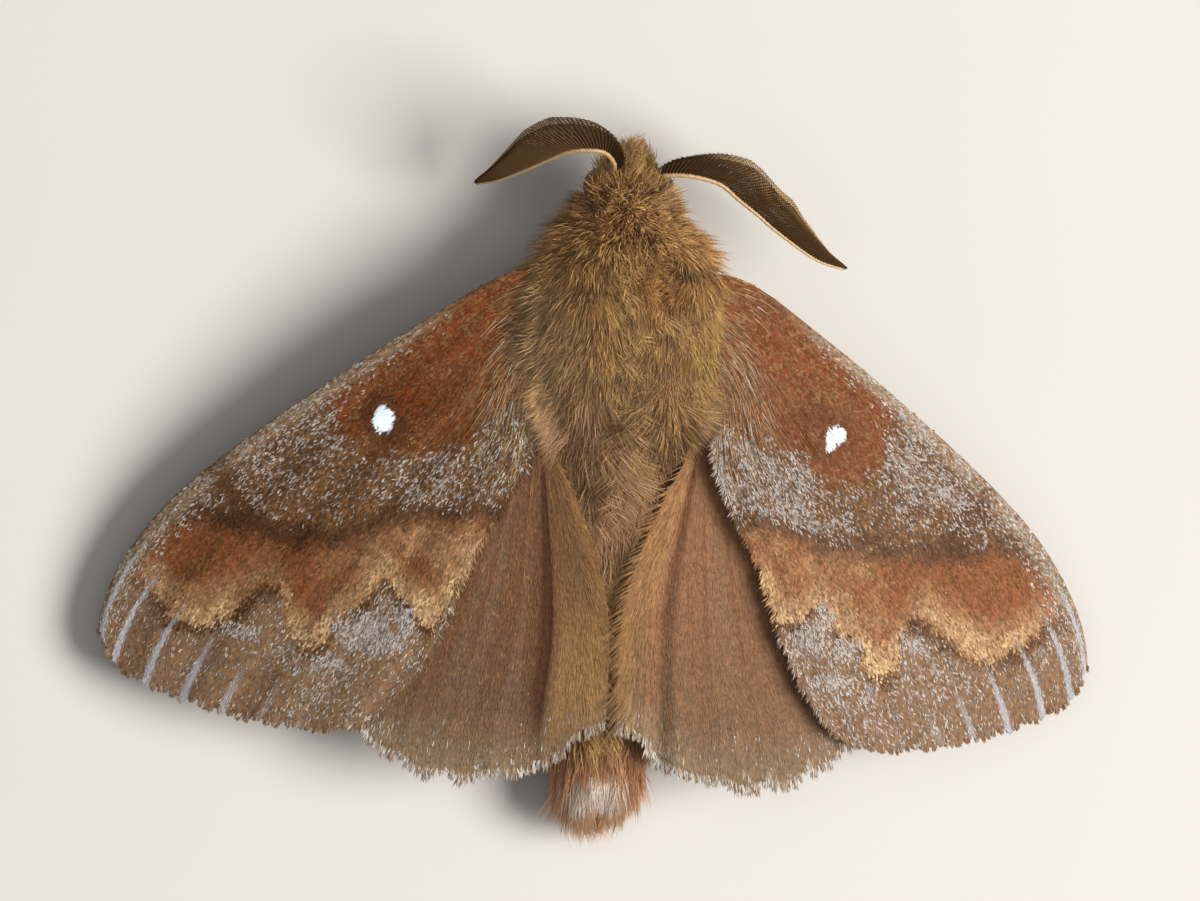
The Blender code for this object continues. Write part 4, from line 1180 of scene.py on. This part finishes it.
def wing_hair(wing, word, count, seed, keep, length, inward, width):
    """Long hair on a wing, thickest near the body."""
    draw, s, t = scatter(wing, count, seed, keep)
    number = len(s)
    roots, ahead, normal, _ = wing.frame(s, t)
    marks = wing.marks(s, t, draw.normal(0, SCALE_BLUR, (2, number)))
    angle = np.radians(draw.normal(0, 6, number)) - inward * wing.side * ease((t - 0.8) / 0.2)
    ahead = turn(ahead, normal, angle)
    reach = length * draw.uniform(0.65, 1.2, number)
    lift = draw.uniform(0.02, 0.12, number)
    tips = roots + (ahead + normal * column(lift)) * column(reach)
    if wing.fore:
        near = ease((9 - np.abs(roots[:, 0])) / 3)
        marks["gold"] = np.maximum(marks["gold"], 0.5 * near)
        marks["frost"] = np.maximum(marks["frost"] * (1 - 0.6 * near), 0.1 * near)
    tuft = draw.uniform(0, 1, number)
    widths = width * draw.uniform(0.8, 1.2, number)
    wing.cover(word, s, t, roots, tips, normal, widths, marks, tuft, "sliver")


def hind_shown(wing, s, t):
    """How closely the hindwing's scales are set: thinly where the forewing covers them."""
    x, y = np.moveaxis(wing.flat(s, t), -1, 0)
    edge = np.array(sorted((b, a) for a, b in FOREWING["dorsum"]))
    hidden = (x > np.interp(y, edge[:, 0], edge[:, 1]) + 1.2) & (y > -11.4)
    return np.where(hidden, 0.12, 1.0)


def fore_hairy(wing, s, t):
    return ease((0.42 - s) / 0.3) * ease((t - 0.3) / 0.4) + 0.3 * ease((0.2 - s) / 0.15)


def hind_inner(wing, s, t):
    return ease((t - 0.94) / 0.03) * ease((s - 0.08) / 0.1)


def hind_hairy(wing, s, t):
    inner = ease((t - 0.84) / 0.1) * ease((1.0 - s) / 0.2)
    return inner + 0.25 * ease((t - 0.76) / 0.1) * ease((0.5 - s) / 0.3)


def wings():
    for label, side in SIDES:
        fore, hind = Wing("forewing", label, side), Wing("hindwing", label, side)
        for wing in (fore, hind):
            membrane(wing)
        scales(fore, 200 + side)
        scales(hind, 210 + side, hind_shown)
        frost_scales(fore, 270 + side)
        edge_hair(fore, 1500, 280 + side)
        fringe(fore, 220 + side)
        fringe(hind, 230 + side)
        wing_hair(fore, "hair", 5000, 240 + side, fore_hairy, 1.3, 0.0, 0.055)
        wing_hair(hind, "hair", 8000, 250 + side, hind_hairy, 0.9, 0.25, 0.045)
        wing_hair(hind, "inner_hair", 4500, 260 + side, hind_inner, 1.15 + 0.35 * side, 0.8, 0.045)


# Shaders.


class Number:
    """A node's output that can stand in a sum: each sum on it adds a Math node."""

    def __init__(self, paint, socket):
        self.paint = paint
        self.socket = socket

    def sum(self, operation, first, second):
        return self.paint.node("ShaderNodeMath", {"operation": operation}, {0: first, 1: second})

    def __add__(self, other):
        return self.sum("ADD", self, other)

    def __sub__(self, other):
        return self.sum("SUBTRACT", self, other)

    def __rsub__(self, other):
        return self.sum("SUBTRACT", other, self)

    def __mul__(self, other):
        return self.sum("MULTIPLY", self, other)

    def __gt__(self, other):
        return self.sum("GREATER_THAN", self, other)

    def __pow__(self, other):
        return self.sum("POWER", self, other)

    __radd__ = __add__
    __rmul__ = __mul__


class Paint:
    """A material and its nodes."""

    def __init__(self, name, roughness, specular):
        self.material = bpy.data.materials.new(name)
        self.material.use_nodes = True
        self.tree = self.material.node_tree
        self.surface = self.tree.nodes["Principled BSDF"]
        self.surface.inputs["Roughness"].default_value = roughness
        self.surface.inputs["Specular IOR Level"].default_value = specular

    def put(self, socket, value):
        if isinstance(value, Number):
            self.tree.links.new(value.socket, socket)
        else:
            socket.default_value = value

    def node(self, kind, settings=None, inputs=None, output=0):
        """A new node of a kind: its settings come first, then the values or links of its sockets."""
        made = self.tree.nodes.new(kind)
        for name, value in (settings or {}).items():
            setattr(made, name, value)
        for key, value in (inputs or {}).items():
            self.put(made.inputs[key], value)
        return Number(self, made.outputs[output])

    def mark(self, name):
        return self.node("ShaderNodeAttribute", {"attribute_name": name}, output="Fac")

    def colour(self, a, b, share, blend="MIX"):
        """Colour a turned towards b."""
        a, b = ((*v, 1) if isinstance(v, tuple) else v for v in (a, b))
        settings = {"data_type": "RGBA", "blend_type": blend}
        return self.node("ShaderNodeMix", settings, {0: share, 6: a, 7: b}, 2)

    def place(self):
        return self.node("ShaderNodeTexCoord", output="Object")

    def noise(self, scale):
        """Noise on Object coordinates; scale is in lumps per millimetre."""
        inputs = {"Vector": self.place(), "Scale": scale / MM, "Detail": 3.0, "Roughness": 0.6}
        return self.node("ShaderNodeTexNoise", {}, inputs)

    def cells(self, scale):
        """A random number for each small cell."""
        cell = self.node("ShaderNodeTexVoronoi", {}, {"Vector": self.place(), "Scale": scale / MM}, "Color")
        return self.node("ShaderNodeSeparateColor", {}, {0: cell})

    def bump(self, height, distance):
        inputs = {"Height": height, "Distance": distance * MM, "Strength": 1.0}
        self.put(self.surface.inputs["Normal"], self.node("ShaderNodeBump", {}, inputs))

    def base(self, colour):
        self.put(self.surface.inputs["Base Color"], colour)

    def tint(self, colour, label, tint=None, strength=1.0):
        """A colour turned towards a tint, or the marking's own one, where a marking is."""
        return self.colour(colour, tint or linear(*TINTS[label]), self.mark(label) * strength)

    def shade(self, colour, amount):
        grey = self.node("ShaderNodeCombineColor", {}, {0: amount, 1: amount, 2: amount})
        return self.colour(colour, grey, 1.0, "MULTIPLY")


def wing_paint(name, ground, gold, painted_sheen, scaled, grain):
    """The wings' colours from their markings; scaled is for the loose scales, each of one colour."""
    paint = Paint(name, 0.65, 0.05)
    tuft = paint.mark("tuft") if scaled else paint.cells(5)
    other = paint.node("ShaderNodeMath", {"operation": "FRACT"}, {0: tuft * 37.7})
    colour = paint.colour(linear(*ground), linear(*TINTS["outer"]), paint.mark("outer"))
    for label, tint in (("warm", None), ("rust", None), ("gold", linear(*gold)), ("rim", None)):
        colour = paint.tint(colour, label, tint)
    speck = paint.mark("speck") > other
    colour = paint.colour(colour, linear(*TINTS["speck"]), speck * 0.7)
    # Dark markings, and on the hindwing the painted shade along its fold.
    colour = paint.tint(colour, "dark_and_shade", strength=0.88)
    # Painted sheen: a pale reflection laid over the forewing that faces the light.
    colour = paint.colour(colour, linear(*TINTS["painted_sheen"]), painted_sheen)
    lumps = paint.noise(1.6) * 0.4 + paint.noise(4.0) * 0.9
    colour = paint.shade(colour, lumps + other * grain + (0.35 - grain / 2))
    white = paint.mark("frost") > tuft
    colour = paint.colour(colour, linear(*TINTS["frost"]), white * (other * 0.56 + 0.13))
    colour = paint.tint(colour, "stripe", strength=0.75)
    colour = paint.tint(colour, "spot")
    if not scaled:
        colour = paint.tint(colour, "under", strength=0.9)
        paint.bump(paint.noise(6.0), 0.05)
    paint.base(colour)
    return paint.material


def fur_paint(name):
    """Fur with dark roots and lighter tips, each hair a little different."""
    paint = Paint(name, 0.5, 0.35)
    paint.surface.inputs["Sheen Weight"].default_value = 0.25
    paint.surface.inputs["Sheen Roughness"].default_value = 0.4
    paint.surface.inputs["Sheen Tint"].default_value = (1.0, 0.75, 0.45, 1)
    tuft, share = paint.mark("tuft"), paint.mark("share")
    lit = share ** 0.8
    bright = tuft * tuft
    root = paint.colour(linear(70, 42, 24), linear(104, 64, 38), tuft)
    tip = paint.colour(linear(104, 66, 34), linear(255, 212, 130), bright)
    colour = paint.colour(root, tip, lit)
    for label, (root, dark, light, strength) in FUR_TINTS.items():
        tip = paint.colour(linear(*dark), linear(*light), bright)
        colour = paint.tint(colour, label, paint.colour(linear(*root), tip, lit), strength)
    # The collar's dark flecks, and the painted shade in the fur's gaps.
    colour = paint.tint(colour, "dark_and_shade", linear(58, 34, 18), 0.8)
    # White tips, and the painted highlight on the tail tuft.
    colour = paint.colour(colour, linear(255, 250, 242), paint.mark("frost") * share ** 0.5)
    paint.base(colour)
    return paint.material


def horn_paint(name):
    """Horny parts, lighter or darker towards the tip, with fine dark specks."""
    root, tip, roughness, specular = HORN_TINTS[name]
    paint = Paint(name, roughness, specular)
    colour = paint.colour(linear(*root), linear(*tip), paint.mark("share"))
    colour = paint.colour(colour, linear(70, 48, 30), paint.noise(7.0) ** 2.0)
    paint.base(colour)
    paint.bump(paint.noise(9.0), 0.02)
    return paint.material


def eye_paint():
    """Bluish black with fine facets."""
    paint = Paint("eye_facets", 0.3, 0.3)
    inputs = {"Vector": paint.place(), "Scale": 9 / MM, "Randomness": 0.25}
    facet = paint.node("ShaderNodeTexVoronoi", {"feature": "DISTANCE_TO_EDGE"}, inputs)
    paint.base(paint.colour(linear(8, 9, 12), linear(26, 32, 40), facet))
    paint.bump(facet, 0.02)
    return paint.material


# Feelers.


def comb_length(share, start):
    grown = np.clip((share - start) / COMB_GROWS, 0, 1) ** 0.8
    fading = np.clip((1.02 - share) / COMB_FADES, 0, 1) ** 0.8
    return COMB_LENGTH * grown * fading


def shaft_path(side):
    place, angle = ANTENNA_ROOT
    surface, outward, _, _ = body_frame(np.array([place]), np.array([angle * side]))
    root = surface[0]
    return smooth_curve([root, root + outward[0] * 0.5, *ANTENNA_POINTS[side]], SHAFT_RINGS)


def rami(side, tilt, size, shift):
    """Roots, directions, lengths and the shaft's direction of a row of comb teeth."""
    path = shaft_path(side)
    share = np.linspace(*COMB_SPANS[side], RAMI)
    share = np.clip(share + shift * (share[1] - share[0]), 0, 1)
    ahead = unit(at(path, share + 0.11) - at(path, share - 0.11))
    outward = unit(np.cross(ahead, UP)) * -side
    above = unit(np.cross(outward, ahead)) * side
    across = outward * math.cos(tilt) + above * math.sin(tilt)
    aim = ahead * math.cos(COMB_SLANT) + across * math.sin(COMB_SLANT)
    return at(path, share), aim, comb_length(share, COMB_SPANS[side][0] - 0.04) * size, ahead


def on_rami(root, aim, length, ahead, shares):
    """Places along each tooth, which curls towards the feeler's tip."""
    reach = shares[None] * length[:, None]
    curl = RAMUS_CURL * shares[None] ** 2 * length[:, None]
    return root[:, None] + aim[:, None] * reach[..., None] + ahead[:, None] * curl[..., None]


def comb(name, row, shader):
    """A row of fine curved teeth, paler towards the feeler's tip."""
    ahead = row[-1]
    shares = np.linspace(0, 1, RAMUS_RINGS)
    radii = mix(*RAMUS_RADII, shares)
    lines = on_rami(*row, shares)
    teeth = [fine_tube(line, radii, RAMUS_SIDES, up) for line, up in zip(lines, ahead)]
    pale = np.repeat(ease((np.linspace(0, 1, len(teeth)) - 0.1) / 0.2), RAMUS_RINGS * RAMUS_SIDES)
    put_fine_tubes(name, teeth, RAMUS_RINGS, RAMUS_SIDES, pale, shader)


def cilia(name, row, shader, seed):
    """The short hairs along both sides of each comb tooth, which nearly close the gaps between the teeth."""
    draw = np.random.default_rng(seed)
    _, aim, _, ahead = row
    places = on_rami(*row, np.linspace(0.03, 0.97, CILIA))
    gap = np.linalg.norm(np.gradient(places, axis=0), axis=-1).ravel()
    ahead, aim = np.repeat(ahead, CILIA, 0), np.repeat(aim, CILIA, 0)
    normal = unit(np.cross(ahead, aim))
    normal = normal * np.sign(normal[:, 2:])
    roots = np.tile(places.reshape(-1, 3) - normal * 0.03, (2, 1))
    out = np.vstack([ahead + aim * 0.45, aim * 0.45 - ahead]) + draw.normal(0, 0.05, roots.shape)
    reach = column(np.clip(np.tile(gap, 2), *CILIUM_LENGTHS))
    tips = roots + unit(out) * reach * draw.uniform(0.8, 1.15, (len(roots), 1))
    points, faces = slivers(roots, tips, np.tile(normal, (2, 1)), np.full(len(roots), CILIUM_WIDTH))
    share = np.tile(SHARES["sliver"], len(roots))
    put_mesh(name, points, faces, shader, {"share": share}, smooth=False)


def feelers():
    shaft_shader, hair_shader = horn_paint("feeler_shaft"), horn_paint("feeler_hair")
    comb_shaders = {row_name: horn_paint("feeler_comb_" + row_name) for row_name, *_ in COMB_ROWS}
    for label, side in SIDES:
        radii = mix(SHAFT_RADIUS, SHAFT_TIP_RADIUS, np.linspace(0, 1, SHAFT_RINGS))
        radii = radii * (1 + 0.12 * np.sin(np.linspace(0, 60 * math.pi, SHAFT_RINGS)))
        name = "antenna_shaft_" + label
        shaft = put_tube(name, shaft_path(side), radii, SHAFT_SIDES, shaft_shader)
        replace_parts(shaft, "antenna_" + label)
        for k, (row_name, tilt, size, shift) in enumerate(COMB_ROWS):
            row = rami(side, tilt, size, shift)
            comb(f"antenna_comb_{row_name}_{label}", row, comb_shaders[row_name])
            cilia(f"antenna_hair_{row_name}_{label}", row, hair_shader, 60 + side + 10 * k)


# Eyes, palps and legs.


def eyes(shader):
    for label, side in SIDES:
        add = bpy.ops.mesh.primitive_uv_sphere_add
        piece, points = fresh_primitive(add, segments=64, ring_count=40, radius=EYE_RADIUS)
        move_points(piece, points + np.array(EYE_CENTRE) * [side, 1, 1])
        piece.data.shade_smooth()
        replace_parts(place_piece(piece, "eye_ball_" + label, shader), "eye_" + label)


def limb_fur(name, path, radii, shader, count, length, rise, seed):
    """Fur on a limb, lying towards its end and shorter there."""
    draw = np.random.default_rng(seed)
    share = draw.uniform(0.0, 0.97, count)
    angle = draw.uniform(0, 2 * math.pi, count)
    ahead = unit(at(path, share + 0.02) - at(path, share - 0.02))
    across, top = square_to(ahead, UP + 0.01)
    normal = across * column(np.cos(angle)) + top * column(np.sin(angle))
    radius = np.interp(share, np.linspace(0, 1, len(radii)), radii)
    roots = at(path, share) + normal * column(radius * 0.9)
    reach = length * draw.uniform(0.7, 1.2, count) * mix(1, 0.4, share)
    tips = roots + (ahead + normal * rise * 1.1) * column(reach)
    for line in (roots, tips):
        line[:, 2] = np.maximum(line[:, 2], FLOOR_GAP)
    marks = {label: np.zeros(count) for label in FUR_MARKS}
    marks["gold"] += 0.3
    widths = 0.06 * draw.uniform(0.8, 1.2, count)
    tuft = draw.uniform(0, 1, count)
    uv = unwrapped(angle / (2 * math.pi), share)
    put_hair(name, shader, (roots, None, tips), normal, widths, marks, tuft, uv, "sliver")


def palps(shader):
    for label, side in SIDES:
        low, high = (np.array(corner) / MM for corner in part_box("palp_" + label))
        middle = (low + high) / 2
        start = (middle[0], low[1] - 0.4, high[2] - 0.3)
        end = (middle[0], high[1] - 0.1, low[2] + 0.25)
        path = smooth_curve([start, middle, end], 20)
        radii = mix(0.3, 0.12, np.linspace(0, 1, 20) ** 2)
        piece = put_tube("palp_skin_" + label, path, radii, 12, shader, PLAIN_FUR)
        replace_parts(piece, "palp_" + label)
        limb_fur("palp_fur_" + label, path, radii, shader, 700, 0.6, 0.25, 80 + side)


def leg_path(pair, side):
    place, angle = LEG_HIPS[pair]
    surface, outward, _, _ = body_frame(np.array([place]), np.array([angle]))
    hip = surface[0]
    knee, ankle, toe = (np.array(joints[pair]) for joints in (LEG_KNEES, LEG_ANKLES, LEG_TOES))
    path = smooth_curve([hip, hip + outward[0] * 1.1, knee, ankle, mix(ankle, toe, 0.5), toe], LEG_RINGS)
    return path * [side, 1, 1]


def leg_radii():
    """A thick thigh, a thin shin and a foot of small joints."""
    share = np.linspace(0, 1, LEG_RINGS)
    thigh = np.interp(share, [0, 0.25, 0.45, 0.6, 0.72, 1], [0.42, 0.5, 0.36, 0.3, 0.2, 0.12])
    foot = ease((share - 0.68) / 0.04)
    return thigh * (1 - 0.3 * foot * np.abs(np.sin((share - 0.7) * math.pi * 17)) ** 6)


def claws(name, path, shader):
    """A pair of hooked claws at the toe."""
    toe, ahead = path[-1], unit(path[-1] - path[-6])
    across = unit(np.cross(UP, ahead))
    shares = np.linspace(0, 1, CLAW_RINGS)
    hooks = []
    for way in (-1, 1):
        out = unit(ahead + across * way * 0.6)
        line = smooth_curve([toe, toe + out * 0.16 + UP * 0.03, toe + out * 0.3 - UP * 0.08], CLAW_RINGS)
        hooks.append(fine_tube(line, mix(0.05, 0.012, shares), CLAW_SIDES))
    pale = np.tile(np.repeat(shares, CLAW_SIDES), 2)
    put_fine_tubes(name, hooks, CLAW_RINGS, CLAW_SIDES, pale, shader)


def legs(shader, claw_shader):
    for number, pair in enumerate(LEG_HIPS):
        for label, side in SIDES:
            name = f"leg_{pair}_{label}"
            path, radii = leg_path(pair, side), leg_radii()
            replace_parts(put_tube(name + "_skin", path, radii, LEG_SIDES, shader, PLAIN_FUR), name)
            seed = 100 + side + 10 * number
            limb_fur(name + "_fur", path, radii, shader, 1700, 0.95, 0.35, seed)
            claws(name + "_claws", path, claw_shader)


# The stage.


def camera():
    across = np.array([math.cos(VIEW_TILT), 0, math.sin(VIEW_TILT)])
    forward = np.array([0, 1, 0])
    right = across * math.cos(VIEW_ROLL) + forward * math.sin(VIEW_ROLL)
    up = forward * math.cos(VIEW_ROLL) - across * math.sin(VIEW_ROLL)
    back = np.cross(right, up)
    place = VIEW_TARGET + back * VIEW_WIDTH * LENS / SENSOR
    data = bpy.data.cameras.new("camera")
    data.lens = LENS
    data.sensor_width = SENSOR
    data.clip_start = 0.01
    made = bpy.data.objects.new("camera", data)
    turned = Matrix(np.array([right, up, back]).T).to_4x4()
    made.matrix_world = Matrix.Translation(Vector(place * MM)) @ turned
    bpy.context.scene.collection.objects.link(made)
    bpy.context.scene.camera = made


def light(name, place, size, power, colour):
    data = bpy.data.lights.new(name, "AREA")
    data.shape = "DISK"
    data.size = size
    data.energy = power
    data.color = colour
    made = bpy.data.objects.new(name, data)
    made.location = place
    made.rotation_euler = (-Vector(place)).to_track_quat("-Z", "Y").to_euler()
    bpy.context.scene.collection.objects.link(made)


def floor():
    bpy.ops.object.select_all(action="DESELECT")
    bpy.ops.mesh.primitive_plane_add(size=FLOOR_SIZE, location=(0, 0, 0))
    piece = bpy.context.object
    piece.name = piece.data.name = "floor"
    paint = Paint("floor_pale", 0.9, 0.1)
    paint.base(paint.colour(linear(186, 183, 179), linear(192, 189, 185), paint.noise(0.02)))
    piece.data.materials.append(paint.material)


def stage():
    floor()
    camera()
    for settings in LIGHTS:
        light(*settings)
    world = bpy.data.worlds.new("studio")
    world.use_nodes = True
    world.node_tree.nodes["Background"].inputs["Color"].default_value = STUDIO_COLOUR
    world.node_tree.nodes["Background"].inputs["Strength"].default_value = STUDIO_STRENGTH
    bpy.context.scene.world = world
    bpy.context.scene.view_settings.view_transform = "Standard"


body()
eyes(eye_paint())
feelers()
wings()
stage()
